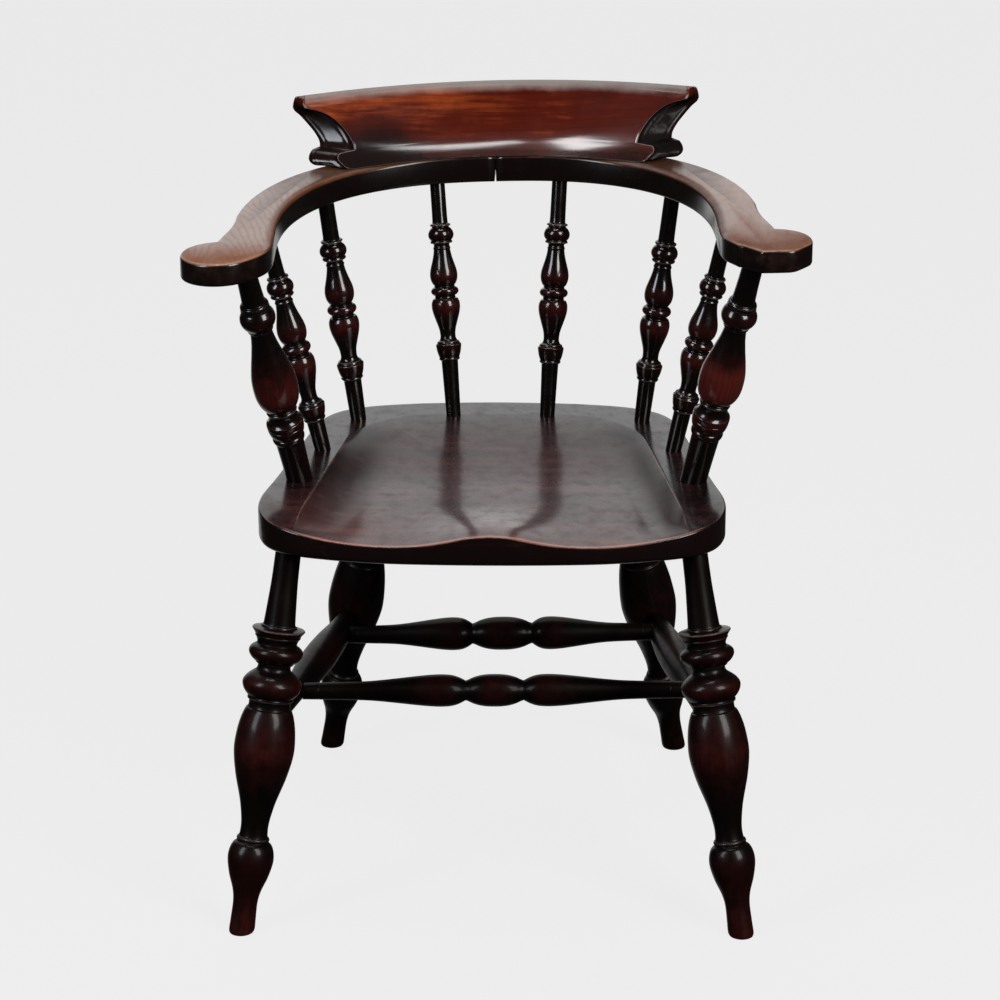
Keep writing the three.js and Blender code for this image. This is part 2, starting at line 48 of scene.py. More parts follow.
seatLow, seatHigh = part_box("seat")
drawingOrigin = Vector(((seatLow.x + seatHigh.x) / 2, seatLow.y, 0))

# Sizes that several pieces share
chair = {
    "seatHeight": 453,
    "seatThickness": 37,
    "seatHalf": 249.5,
    "seatDepth": 442,
    "armHeight": 258,
    "armThickness": 25,
    "backThickening": 5,
    "bowSlope": 0.0213,
    "bowTilt": 0.027,
    "bowSkew": 0.022,
    "skewCentre": 320,
    "bowOuterHalf": 282.5,
    "bowInnerHalf": 234.5,
    "bowInnerBack": 432,
    "bowBackWidth": 38,
    "bowReach": 264,
    "bowSquareness": 2.4,
    "handFront": 56,
    "woodGap": 0.3,
}
bendY = chair["bowInnerBack"] - chair["bowReach"]


def inFrame(point):
    return drawingOrigin + Vector(point) * mm


def clamp(value, low=0.0, high=1.0):
    return max(low, min(high, value))


def smooth(low, high, value):
    share = clamp((value - low) / (high - low))
    return share * share * (3 - 2 * share)


def lerp(a, b, share):
    return a + (b - a) * share


# A soft hump, 1 at its middle
def bell(value, middle, spread):
    return exp(-((value - middle) / spread) ** 2)


def wayOf(angle):
    return Vector((cos(angle), sin(angle)))


# Centripetal Catmull-Rom through p1 and p2, with any number of values in a point
def spanPoint(p0, p1, p2, p3, t):
    gaps = [max(dist(a, b), 1e-5) ** 0.5 for a, b in ((p0, p1), (p1, p2), (p2, p3))]
    point = []
    for a, b, c, d in zip(p0, p1, p2, p3):
        leave = ((b - a) / gaps[0] - (c - a) / (gaps[0] + gaps[1]) + (c - b) / gaps[1]) * gaps[1]
        arrive = ((c - b) / gaps[1] - (d - b) / (gaps[1] + gaps[2]) + (d - c) / gaps[2]) * gaps[1]
        point.append(b + leave * t + (3 * (c - b) - 2 * leave - arrive) * t * t
                     + (2 * (b - c) + leave + arrive) * t ** 3)
    return tuple(point)


# stepsOf is a number, or gives one for a pair of points
def smoothLine(points, stepsOf, closed=False):
    points = [tuple(p) for p in points]
    if closed:
        ringed = [points[-1], *points, points[0], points[1]]
    else:
        before = tuple(2 * a - b for a, b in zip(points[0], points[1]))
        after = tuple(2 * a - b for a, b in zip(points[-1], points[-2]))
        ringed = [before, *points, after]
    line = []
    for i in range(len(ringed) - 3):
        quad = ringed[i:i + 4]
        steps = stepsOf(quad[1], quad[2]) if callable(stepsOf) else stepsOf
        line += [spanPoint(*quad, k / steps) for k in range(steps)]
    if not closed:
        line.append(points[-1])
    return line


def tableValue(table, at):
    if at <= table[0][0]:
        return table[0][1]
    for (fromAt, fromValue), (toAt, toValue) in zip(table, table[1:]):
        if at <= toAt:
            return lerp(fromValue, toValue, (at - fromAt) / (toAt - fromAt))
    return table[-1][1]


def placed(name, data):
    thing = bpy.data.objects.new(name, data)
    bpy.context.scene.collection.objects.link(thing)
    return thing


# One mesh under way: its points, where each point lies in the timber, and its marks, each from 0 to 1:
# wear and painted sheen; dirt, darkened grooves and painted shade; red glow
class Shell:
    def __init__(self):
        self.points = []
        self.grain = []
        self.marks = []
        self.faces = []

    def point(self, place, grain, marks):
        self.points.append(tuple(inFrame(place)))
        self.grain.append(tuple(c * mm for c in grain))
        self.marks.append(marks)
        return len(self.points) - 1

    def sleeve(self, rings, closed=True):
        for lower, upper in zip(rings, rings[1:]):
            count = len(lower)
            for i in range(count if closed else count - 1):
                j = (i + 1) % count
                self.faces.append((lower[i], lower[j], upper[j], upper[i]))

    def cap(self, ring):
        self.faces.append(tuple(ring))

    def fan(self, ring, middle):
        for i, start in enumerate(ring):
            self.faces.append((start, ring[(i + 1) % len(ring)], middle))

    def build(self, name, material, node):
        mesh = bpy.data.meshes.new(name)
        mesh.from_pydata(self.points, [], self.faces)
        for key, values in (("grain", self.grain), ("marks", self.marks)):
            layer = mesh.attributes.new(key, "FLOAT_VECTOR", "POINT")
            layer.data.foreach_set("vector", [c for value in values for c in value])
        tidy = bmesh.new()
        tidy.from_mesh(mesh)
        bmesh.ops.recalc_face_normals(tidy, faces=tidy.faces[:])
        tidy.to_mesh(mesh)
        tidy.free()
        mesh.polygons.foreach_set("use_smooth", [True] * len(mesh.polygons))
        mesh.materials.append(material)
        piece = placed(name, mesh)
        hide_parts(node)
        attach(piece, "root")


# Shader maths: a wire is one output socket, and plain operators add its Math nodes
class Wire:
    def __init__(self, finish, socket):
        self.finish = finish
        self.socket = socket

    def __add__(self, other):
        return self.finish.maths("ADD", self, other)

    __radd__ = __add__

    def __mul__(self, other):
        return self.finish.maths("MULTIPLY", self, other)

    __rmul__ = __mul__

    def __sub__(self, other):
        return self.finish.maths("SUBTRACT", self, other)

    def __rsub__(self, other):
        return self.finish.maths("SUBTRACT", other, self)


class Finish:
    def __init__(self, tree):
        self.tree = tree
        tree.nodes.clear()

    def node(self, kind, settings=None, sockets=None, output=0):
        made = self.tree.nodes.new(kind)
        for name, value in (settings or {}).items():
            setattr(made, name, value)
        for name, value in (sockets or {}).items():
            socket = made.inputs[name]
            if isinstance(value, Wire):
                self.tree.links.new(value.socket, socket)
            elif socket.type == "RGBA":
                socket.default_value = (*value, 1)
            else:
                socket.default_value = value
        return Wire(self, made.outputs[output]) if len(made.outputs) else None

    def maths(self, operation, first, second):
        return self.node("ShaderNodeMath", {"operation": operation}, {0: first, 1: second})

    def mix(self, share, first, second):
        return self.node("ShaderNodeMix", {"data_type": "RGBA"}, {0: share, 6: first, 7: second}, 2)

    def between(self, value, low, high):
        return self.node("ShaderNodeMapRange", {"interpolation_type": "SMOOTHSTEP"},
                         {"Value": value, "From Min": low, "From Max": high})

    def stretch(self, place, factors):
        return self.node("ShaderNodeVectorMath", {"operation": "MULTIPLY"}, {0: place, 1: factors})

    def noise(self, place, scale, detail, roughness, distortion=0.0):
        return self.node("ShaderNodeTexNoise", {}, {
            "Vector": place, "Scale": scale, "Detail": detail,
            "Roughness": roughness, "Distortion": distortion})

    def bump(self, height, distance, strength):
        return self.node("ShaderNodeBump", {}, {
            "Height": height, "Distance": distance, "Strength": strength})

    def principled(self, sockets):
        shader = self.node("ShaderNodeBsdfPrincipled", {}, sockets)
        self.node("ShaderNodeOutputMaterial", {}, {"Surface": shader})

    def attribute(self, name):
        return self.node("ShaderNodeAttribute", {"attribute_name": name}, {}, 1)

    def parts(self, vector):
        split = self.node("ShaderNodeSeparateXYZ", {}, {0: vector})
        return [Wire(self, socket) for socket in split.socket.node.outputs]


def newMaterial(name):
    material = bpy.data.materials.new(name)
    material.use_nodes = True
    return material, Finish(material.node_tree)


# Polished timber. Every look below is one dictionary of colours and amounts for this recipe,
# and this one holds what all timbers share
timber = {
    "streakNoise": (1.0, 4.0, 0.6, 0.4),  # scale, detail, roughness and distortion
    "mottleNoise": (4.0, 0.6, 0.3),
    "scuffNoise": (5.0, 0.7),
    "fineNoise": (1.0, 2.0, 0.5),
    "poreStretch": (60, 1100, 1100),
    "poreLines": (0.6, 0.78),
    "poreRoughness": 0.1,
    "ringTwist": 0.6,
    "ringLines": (0.55, 0.95),
    "brightMottle": 0.5,
    "wornThrough": (0.35, 0.9),
    "wornCoat": (0.0, 0.35),
    "scuffed": (0.42, 0.75),
    "reliefDepth": 0.001,
    "coatIor": 1.5,
}


def timberMaterial(name, look):
    material, finish = newMaterial(name)
    grain = finish.attribute("grain")
    worn, dirtAndShade, glow = finish.parts(finish.attribute("marks"))
    along, across = look["streakScale"]
    streaks = finish.noise(finish.stretch(grain, (along, across, across)), *timber["streakNoise"])
    mottle = finish.noise(grain, look["mottleScale"], *timber["mottleNoise"])
    pores = finish.noise(finish.stretch(grain, timber["poreStretch"]), *timber["fineNoise"])
    ripples = finish.noise(finish.stretch(grain, look["rippleScale"]), *timber["fineNoise"])
    scuffs = finish.noise(grain, look["scuffScale"], *timber["scuffNoise"])
    scuffs = finish.between(scuffs, *timber["scuffed"])
    # the dirt mask also carries painted shade: the crest's coves, a band in the seat's dish and the bow under
    # the crest
    dirtAndShade = dirtAndShade * (1 - scuffs * look["dirtPatches"])
    leaning = finish.node("ShaderNodeMapping", {}, {
        "Vector": grain, "Rotation": (0, look["ringLean"], look["ringLean"] * timber["ringTwist"])})
    rings = finish.node("ShaderNodeTexWave", {"wave_type": "RINGS", "rings_direction": "X"}, {
        "Vector": leaning, "Scale": look["ringScale"],
        "Distortion": look["ringWander"], "Detail": 2.0, "Detail Scale": 0.35}, 1)

    shading = (streaks - 0.5) * look["streakAmount"] + (mottle - 0.5) * look["mottleAmount"]
    shade = finish.between(glow + shading, look["glowFrom"], look["glowTo"])
    colour = finish.mix(shade, look["dark"], look["middle"])
    lighting = (streaks - 0.5) * look["brightStreaks"] + (mottle - 0.5) * timber["brightMottle"]
    bright = finish.between(glow + lighting, look["brightFrom"], look["brightTo"])
    colour = finish.mix(bright, colour, look["bright"])
    ringLines = finish.between(rings, *timber["ringLines"]) * look["ringAmount"] * shade
    colour = finish.mix(ringLines, colour, look["ringColour"])
    poreLines = finish.between(pores, *timber["poreLines"]) * look["poreAmount"]
    colour = finish.mix(poreLines, colour, look["poreColour"])
    # the wear mask also paints sheen: the pale band along the crest's top and the grey sheen on turned rings
    wearAndPaintedLight = finish.between(worn + (mottle - 0.5) * look["wearPatches"], *timber["wornThrough"])
    colour = finish.mix(wearAndPaintedLight * look["wearAmount"], colour, look["wornColour"])
    colour = finish.mix(dirtAndShade * look["dirtAmount"], colour, look["dirtColour"])

    roughness = look["roughness"] + scuffs * look["scuffAmount"]
    roughness = roughness + dirtAndShade * look["dirtRoughness"] + poreLines * timber["poreRoughness"]
    dull = dirtAndShade * look["dulling"] + ringLines * look["ringDulling"] + scuffs * look["scuffDulling"]
    dull = dull + finish.between(worn, *timber["wornCoat"]) * look["wornDulling"]
    relief = (1 - pores) * look["poreRelief"] + ripples * look["rippleRelief"]
    finish.principled({
        "Base Color": colour, "Roughness": roughness, "IOR": look["ior"],
        "Normal": finish.bump(relief, timber["reliefDepth"], 1.0), "Coat Weight": look["coat"] * (1 - dull),
        "Coat Roughness": look["coatRoughness"], "Coat IOR": timber["coatIor"]})
    return material


turnedLook = {
    "dark": (0.0022, 0.0011, 0.001), "middle": (0.0105, 0.0021, 0.0018), "bright": (0.06, 0.0085, 0.0062),
    "glowFrom": 0.2, "glowTo": 0.9, "brightFrom": 0.7, "brightTo": 1.4,
    "streakScale": (10, 70), "streakAmount": 0.3, "brightStreaks": 0.5,
    "mottleScale": 90.0, "mottleAmount": 1.2,
    "ringLean": 0.05, "ringScale": 60.0, "ringWander": 2.0, "ringAmount": 0.2,
    "ringColour": (0.003, 0.0013, 0.0012), "ringDulling": 0.0,
    "poreAmount": 0.35, "poreColour": (0.0018, 0.0011, 0.001), "poreRelief": 0.006,
    # near-black: darkens turned grooves, and paints the shade of the crest's coves
    "dirtColour": (0.0018, 0.0011, 0.001), "dirtAmount": 0.9, "dirtPatches": 0.0,
    "dirtRoughness": 0.15, "dulling": 0.5,
    # grey worn colour: worn edges of the turnings, partly a painted grey sheen on the rings
    "wearAmount": 0.55, "wearPatches": 0.7, "wornColour": (0.1, 0.066, 0.056), "wornDulling": 0.0,
    "scuffScale": 60.0, "scuffAmount": 0.12, "scuffDulling": 0.2,
    "rippleScale": (30, 50, 50), "rippleRelief": 0.02,
    "roughness": 0.25, "ior": 1.22, "coat": 0.85, "coatRoughness": 0.1,
}
legLook = dict(turnedLook, **{
    "mottleScale": 60.0, "roughness": 0.36, "ior": 1.18, "coat": 0.2, "coatRoughness": 0.15,
})
railLook = dict(turnedLook, **{
    "wearAmount": 0.2, "roughness": 0.4, "ior": 1.14, "coat": 0.08, "coatRoughness": 0.14,
})
crestLook = dict(turnedLook, **{
    "dark": (0.008, 0.002, 0.0015), "middle": (0.059, 0.0053, 0.0016), "bright": (0.24, 0.038, 0.0065),
    "glowFrom": 0.1, "glowTo": 0.6, "brightFrom": 0.58, "brightTo": 1.1,
    "streakScale": (5, 150), "streakAmount": 0.4, "brightStreaks": 0.9,
    "mottleScale": 30.0, "mottleAmount": 0.5,
    "ringScale": 40.0, "ringAmount": 0.3, "ringColour": (0.02, 0.004, 0.002),
    "poreRelief": 0.02, "rippleScale": (10, 40, 40), "rippleRelief": 0.09,
    # grey worn colour: the painted sheen along the crest's top, and the worn arrises of the ears
    "wearAmount": 0.8, "wearPatches": 0.35, "wornColour": (0.225, 0.2, 0.183), "wornDulling": 0.85,
    "scuffAmount": 0.14, "dirtRoughness": 0.25, "dulling": 0.95,
    "roughness": 0.3, "ior": 1.15, "coat": 0.9, "coatRoughness": 0.11,
})
armLook = dict(turnedLook, **{
    "dark": (0.003, 0.0012, 0.0009), "middle": (0.1, 0.04, 0.023), "bright": (0.2, 0.082, 0.043),
    "glowFrom": 0.15, "glowTo": 0.75, "brightFrom": 0.4, "brightTo": 1.2,
    "streakScale": (4, 60), "streakAmount": 0.35,
    "mottleScale": 14.0, "mottleAmount": 0.4,
    "ringLean": 0.24, "ringScale": 50.0, "ringWander": 9.0, "ringAmount": 0.55,
    "ringColour": (0.035, 0.012, 0.007), "ringDulling": 0.08,
    "poreRelief": 0.02, "rippleScale": (14, 40, 40), "rippleRelief": 0.06,
    # colour of the hands rubbed dull, also used for the painted shade of the bow under the crest
    "dirtColour": (0.17, 0.052, 0.016), "dirtAmount": 0.75, "dirtRoughness": 0.25, "dulling": 0.92,
    "wearAmount": 0.8, "wornColour": (0.36, 0.17, 0.1),
    "roughness": 0.28, "coat": 0.95, "coatRoughness": 0.2,
})
rightArmLook = dict(armLook, **{
    "ringAmount": 0.15, "ringDulling": 0.05, "mottleScale": 40.0, "mottleAmount": 0.5,
    "dirtColour": (0.1, 0.028, 0.009),
})
seatLook = dict(turnedLook, **{
    "dark": (0.005, 0.0022, 0.0021), "middle": (0.029, 0.0092, 0.0092), "bright": (0.09, 0.026, 0.022),
    "glowFrom": 0.1, "glowTo": 0.7, "brightFrom": 0.5, "brightTo": 1.2,
    "streakScale": (7, 70), "streakAmount": 0.9, "brightStreaks": 1.3,
    "mottleScale": 16.0, "mottleAmount": 0.8,
    "ringLean": 0.1, "ringScale": 12.0, "ringWander": 3.0, "ringAmount": 0.3,
    "ringColour": (0.012, 0.004, 0.004),
    "poreAmount": 0.5, "poreRelief": 0.04, "rippleScale": (9, 45, 45), "rippleRelief": 0.15,
    # the dirt colour paints the dark band inside the dish's sides: painted shade
    "dirtColour": (0.016, 0.0042, 0.0042), "dirtAmount": 0.6, "dirtPatches": 0.75, "dulling": 0.95,
    "wearAmount": 0.8, "wornColour": (0.27, 0.115, 0.085),
    "scuffScale": 55.0, "scuffAmount": 0.2, "scuffDulling": 0.25,
    "roughness": 0.26, "ior": 1.16, "coat": 0.68, "coatRoughness": 0.16,
})
turnedWoods = {"turned": timberMaterial("turnedWood", turnedLook), "leg": timberMaterial("legWood", legLook),
               "rail": timberMaterial("railWood", railLook)}
crestWood = timberMaterial("crestWood", crestLook)
armWoods = {-1: timberMaterial("leftArmWood", armLook), 1: timberMaterial("rightArmWood", rightArmLook)}
seatWood = timberMaterial("seatWood", seatLook)
print("timber finishes made")

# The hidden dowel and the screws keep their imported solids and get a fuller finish
hiddenLooks = {
    "bareBeech": {"nodes": ["bow_joint_dowel"], "low": (0.36, 0.2, 0.1), "high": (0.5, 0.31, 0.17),
                  "metal": 0.0, "rough": 0.65, "scale": (160, 900, 900)},
    "agedSteel": {"nodes": [f"crest_screw_{i}" for i in range(1, 5)], "low": (0.09, 0.07, 0.055),
                  "high": (0.34, 0.32, 0.3), "metal": 0.9, "rough": 0.42, "scale": (700, 700, 700)},
}
hiddenGrain = {"noise": (1.0, 4.0, 0.6), "lowToHigh": (0.35, 0.65), "roughSpread": 0.5, "bump": (0.0003, 0.5)}
for name, look in hiddenLooks.items():
    material, finish = newMaterial(name)
    place = finish.node("ShaderNodeTexCoord", {}, {}, 3)
    spread = finish.noise(finish.stretch(place, look["scale"]), *hiddenGrain["noise"])
    share = finish.between(spread, *hiddenGrain["lowToHigh"])
    finish.principled({
        "Base Color": finish.mix(share, look["low"], look["high"]), "Metallic": look["metal"],
        "Roughness": look["rough"] + (spread - 0.5) * hiddenGrain["roughSpread"],
        "Normal": finish.bump(spread, *hiddenGrain["bump"])})
    for node in look["nodes"]:
        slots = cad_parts[node].data.materials
        slots.clear()
        slots.append(material)


# Turned work. Pattern rows are distance along the piece and radius; a third value marks a crisp
# tool corner.
turning = {
    "sides": 64,
    "smallStep": 1.7,
    "mostSteps": 11,
    "cornerEase": 0.45,  # how far a crisp corner is rounded, and at most this share of its neighbours
    "easeShare": 0.45,
    "markReach": 1.6,  # how far a corner's mark spreads: wear and painted sheen on an edge, darkening in a groove
    "wornGain": 0.8,
    "dirtGain": 0.75,
    "leastRadius": 5,  # anything slimmer is the tip of an end
    "swellPower": 1.3,
    "mostGlow": 1.6,
    # leg feet painted lighter brown: a painted satin sheen
    "footGlow": 0.95,
    "footReach": (20, 110),
    "sawnReach": (2, 46),  # where the floor's cut ends and the leg's own turning is true again
    "pith": ((0, 900), (18, 40), (-20, 20)),  # where the heart of the billet may lie
}


def turnedOutline(rows):
    runs = [[rows[0][:2]]]
    for row in rows[1:]:
        runs[-1].append(row[:2])
        if len(row) == 3:
            runs.append([row[:2]])
    if len(runs[-1]) == 1:
        runs.pop()

    def stepsOf(a, b):
        return int(clamp(round(dist(a, b) / turning["smallStep"]), 1, turning["mostSteps"]))

    outline = smoothLine(runs[0], stepsOf)
    for run in runs[1:]:
        line = smoothLine(run, stepsOf)
        corner = Vector(outline.pop())
        before, after = Vector(outline[-1]) - corner, Vector(line[1]) - corner
        ease = min(turning["cornerEase"], min(before.length, after.length) * turning["easeShare"])
        first = corner + before.normalized() * ease
        last = corner + after.normalized() * ease
        outline += [tuple(first), tuple((first + corner * 2 + last) / 4), tuple(last), *line[1:]]
    return outline


# How sharply the outline turns at each point, over the reach of a worn corner: above 0 on an edge,
# below 0 in a groove
def outlineBends(outline):
    reach = turning["markReach"]
    arcs = [0.0]
    for a, b in zip(outline, outline[1:]):
        arcs.append(arcs[-1] + dist(a, b))
    tables = [list(zip(arcs, values)) for values in zip(*outline)]
    bends = []
    for arc, point in zip(arcs, outline):
        before, after = ([tableValue(table, arc + step) for table in tables] for step in (-reach, reach))
        turnIn = atan2(point[1] - before[1], point[0] - before[0] + 1e-6)
        turnOut = atan2(after[1] - point[1], after[0] - point[0] + 1e-6)
        bends.append(turnIn - turnOut)
    return bends


# Each piece was turned by eye: its rows slide by a table of shifts and its girth differs a little
def byEye(rows, shifts, girth=1.0):
    return [(row[0] + tableValue(shifts, row[0]), row[1] * girth, *row[2:]) for row in rows]


def turnedPiece(name, rows, foot, top, seed, glowBoost, wood="turned"):
    foot, top = Vector(foot), Vector(top)
    isLeg = wood == "leg"
    axis = (top - foot).normalized()
    side = axis.cross(Vector((0, 0, 1) if abs(axis.z) < 0.9 else (0, 1, 0))).normalized()
    front = axis.cross(side)
    outline = turnedOutline(rows)
    radii = [radius for along, radius in outline]
    slimmest, widest = min(r for r in radii if r > turning["leastRadius"]), max(radii)
    lay = random.Random(seed)
    turn = lay.uniform(0, tau)
    pith = [lay.uniform(*reach) for reach in turning["pith"]]
    shell = Shell()
    rings = []
    for (along, radius), bend in zip(outline, outlineBends(outline)):
        swell = clamp((radius - slimmest) / (widest - slimmest))
        boost = glowBoost * swell ** 2 if glowBoost > 0 else glowBoost
        # the leg's foot is painted lighter: a painted satin sheen
        if isLeg:
            boost += turning["footGlow"] * (1 - smooth(*turning["footReach"], along))
        glow = clamp(swell ** turning["swellPower"] + boost, 0, turning["mostGlow"])
        # edges get wear with a painted grey sheen, grooves are darkened
        marks = (clamp(bend * turning["wornGain"]), clamp(-bend * turning["dirtGain"]), glow)
        ring = []
        for k in range(turning["sides"]):
            angle = turn + tau * k / turning["sides"]
            offset = (side * cos(angle) + front * sin(angle)) * radius
            place = foot + axis * along + offset
            if isLeg:  # the foot is sawn level with the floor
                place -= axis * (offset.z / axis.z) * (1 - smooth(*turning["sawnReach"], along))
            lain = (along, radius * cos(angle), radius * sin(angle))
            ring.append(shell.point(place, [a + b for a, b in zip(lain, pith)], marks))
        rings.append(ring)
    shell.sleeve(rings)
    for ring, along in ((rings[0][::-1], outline[0][0]), (rings[-1], outline[-1][0])):
        middle = shell.point(foot + axis * along, (along + pith[0], pith[1], pith[2]), (0, 0, 0))
        shell.fan(ring, middle)
    shell.build(f"turned_{name}", turnedWoods[wood], name)


legs = {
    "front": {"sideInset": 34, "inset": 68, "splay": 55, "reach": -88, "glow": -0.12,
              "shifts": [(30, 0), (46, -2.5), (75, -1.8), (100, 0), (429, 0)]},
    "rear": {"sideInset": 112, "inset": 55, "splay": 69, "reach": 91, "glow": -0.45,
             "shifts": [(0, 0), (40, 4), (160, 5.5), (209, 9), (235, 17), (248, 26), (300, 27),
                        (345, 21), (429, 0)]},
    "asSet": {(-1, "rear"): (0, 3), (1, "rear"): (4.5, 4.5)},  # sideways, at the foot and at the top
    "tenon": 12,
    "patternLength": 429,
    "pattern": [
        (0, 11.6), (0.7, 13.0), (2.4, 13.7), (16, 13.5), (36, 13.4), (49, 15.4), (66, 21.4), (83, 24.9),
        (93, 23.6), (99, 20.6), (101.6, 17.2, 1), (102.4, 17.2), (104.4, 17.9), (106.4, 17.2),
        (107.2, 15.6, 1), (112, 15.0), (121, 15.0), (143, 18.7), (175.5, 27.9), (197.5, 32.1),
        (209, 32.6), (230, 30.4), (243, 27.0), (248.6, 24.6, 1), (249.4, 23.0, 1), (253, 22.4),
        (257.6, 22.7, 1), (258.4, 24.6, 1), (260.6, 24.8, 1), (261.6, 24.0, 1), (265, 27.4),
        (269.5, 30.4), (274, 31.8), (277.5, 31.8), (281.5, 29.8), (285.5, 26.2), (289, 21.8),
        (291, 19.2), (294, 17.7), (297.4, 17.8, 1), (298.2, 20.3, 1), (300, 20.8, 1), (300.8, 22.6, 1),
        (304.5, 26.6), (309.8, 29.2), (313.8, 28.6), (317, 25.8), (318.6, 23.2, 1), (319.4, 21.5, 1),
        (322.5, 21.7), (326.4, 23.4), (328.2, 24.8, 1), (328.8, 24.1, 1), (332, 26.0), (334.6, 28.0, 1),
        (335.8, 28.6), (336.8, 28.0, 1), (337.2, 24.0), (338, 19.2, 1), (340, 18.9, 1), (340.8, 17.2, 1),
        (350, 16.5), (366, 15.5), (388, 14.3), (414, 13.8), (429, 13.6), (441, 13.5),
    ],
}


def legEnds(side, kind):
    leg = legs[kind]
    x = side * (chair["seatHalf"] - leg["sideInset"])
    y = leg["inset"] if kind == "front" else chair["seatDepth"] - leg["inset"]
    footSet, topSet = legs["asSet"].get((side, kind), (0, 0))
    top = Vector((x + topSet, y, chair["seatHeight"] - chair["seatThickness"]))
    return Vector((x + side * leg["splay"] + footSet, y + leg["reach"], 0)), top


def alongLeg(side, kind, distance):
    foot, top = legEnds(side, kind)
    return foot + (top - foot).normalized() * distance


words = {-1: "left", 1: "right"}
for side, word in words.items():
    for kind in ("front", "rear"):
        foot, top = legEnds(side, kind)
        length = (top - foot).length
        stretch = length / legs["patternLength"]
        turnedRows = [(row[0] * stretch, *row[1:]) for row in byEye(legs["pattern"], legs[kind]["shifts"])]
        turnedRows[-1] = (length + legs["tenon"], turnedRows[-1][1])
        seed = f"leg {kind} {word}"
        turnedPiece(f"leg_{kind}_{word}", turnedRows, foot, top, seed, legs[kind]["glow"], "leg")
print("legs turned")

rails = {
    "frontAlong": 228,
    "rearAlong": 198,
    "tenonStop": 13,
    "sideGlow": -0.25,
    "sidePattern": [(0, 11.4), (0.1, 11.5), (0.2, 11.9), (0.32, 13.4), (0.45, 17.3), (0.57, 19),
                    (0.7, 18), (0.85, 14.4), (1, 11.8)],
    "crossStop": 9,
    "crossGlow": -0.3,
    # share along the side rails, how far its ends are lifted, its bead's place and stretch, girth
    "crossKinds": {
        "front": {"share": 0.3, "lifts": (-1.5, 3), "slide": 0, "beadStretch": 1.0, "girth": 1.0},
        "rear": {"share": 0.81, "lifts": (-3.5, 2.5), "slide": 2.5, "beadStretch": 1.08, "girth": 1.07},
    },
    "crossBead": 32.2,  # half the length of the bead, where its crisp corner is
    "crossPattern": [
        (0, 18.1), (9, 17.8), (17, 16.6), (24, 14.5), (29, 12.2), (32.2, 11.0, 1), (35, 12.6),
        (40, 15.0), (47, 17.1), (57.7, 18.0), (72, 17.5), (88, 16.0), (105, 14.1), (125, 12.0),
        (142, 10.7), (175, 9.8), (194, 9.6, 1), (194.4, 9.2), (194.8, 9.5, 1), (212, 9.3),
    ],
    "crossHalf": 221,
}


def sideRailEnds(side):
    return alongLeg(side, "front", rails["frontAlong"]), alongLeg(side, "rear", rails["rearAlong"])


for side, word in words.items():
    front, rear = sideRailEnds(side)
    span = (rear - front).length - rails["tenonStop"] * 2
    turnedRows = [(rails["tenonStop"] + share * span, radius) for share, radius in rails["sidePattern"]]
    seed = f"side rail {word}"
    turnedPiece(f"side_stretcher_{word}", turnedRows, front, rear, seed, rails["sideGlow"], "rail")
for kind, cross in rails["crossKinds"].items():
    ends = [front.lerp(rear, cross["share"]) + Vector((0, 0, lift))
            for (front, rear), lift in zip(map(sideRailEnds, (-1, 1)), cross["lifts"])]
    half = (ends[1] - ends[0]).length / 2
    bead = rails["crossBead"]
    reaches = [(0, 0), (bead, bead * cross["beadStretch"]), (rails["crossHalf"], half)]
    right = [(tableValue(reaches, row[0]), row[1] * cross["girth"], *row[2:])
             for row in rails["crossPattern"]]
    right[-1] = (half - rails["crossStop"], right[-1][1])
    left = [(-row[0], *row[1:]) for row in right[:0:-1]]
    slides = [(-half, half), (-bead, half + cross["slide"]), (bead, half + cross["slide"]), (half, half)]
    turnedRows = byEye(left + right, slides)
    seed = f"cross rail {kind}"
    turnedPiece(f"cross_stretcher_{kind}", turnedRows, *ends, seed, rails["crossGlow"], "rail")
print("rails turned")


# The arm bow: tipped flat planes above and below, a squared curve round the back, round hands
def bowUnderside(x, y):
    return (chair["seatHeight"] + chair["armHeight"] + chair["bowSlope"] * (y - chair["handFront"])
            + chair["bowTilt"] * x)


def bowThickness(y):
    run = (y - chair["handFront"]) / (chair["bowInnerBack"] - chair["handFront"])
    return chair["armThickness"] + chair["backThickening"] * run


def bowTop(x, y):
    return bowUnderside(x, y) + bowThickness(y)


def bowShift(y):
    return chair["bowSkew"] * (chair["skewCentre"] - y)


def squaredArc(share):
    return (1 - abs(share) ** chair["bowSquareness"]) ** (1 / chair["bowSquareness"])


bow = {
    "handX": 289.5,
    "handY": 96,
    "handRadius": 40,
    "neckArmLean": {-1: 62, 1: 70},
    "neckHandLean": {-1: 42, 1: 35},
    "neckCorner": {-1: 0.78, 1: 0.44},
    "handCorner": 1.46,
    "shoulder": 54,  # how far behind the hand the outer edge comes round
    "shoulderLeans": (0.3, 0.9),
    # where the right hand was planed flatter: bearing, reach
    "flats": {-1: [], 1: [(-90, 37.2), (-38, 38.2), (-140, 35)]},
    "flatShare": 0.88,
    "curveSteps": 64,
    "neckSteps": 24,
    "handSteps": 46,
    "shoulderSteps": 14,
    "underSteps": 5,
    "overSteps": 7,
    "jointCrack": (0.9, 0.27),  # at its inner and its outer side
    "pith": {-1: (60, -262, 700), 1: (-40, 240, 640)},  # where the heart of each half's timber lies
    "edge": 3.2,
    # width and depth of the eased inner edge round the back corners, and of the edge of the hands
    "roll": (11, 4.6),
    "handEdge": (5.5, 3.4),
    "rollAcross": (60, 150),
    "rollAlong": (80, 140),
    "handReach": (20, -10),
    "flatStart": 6,
}
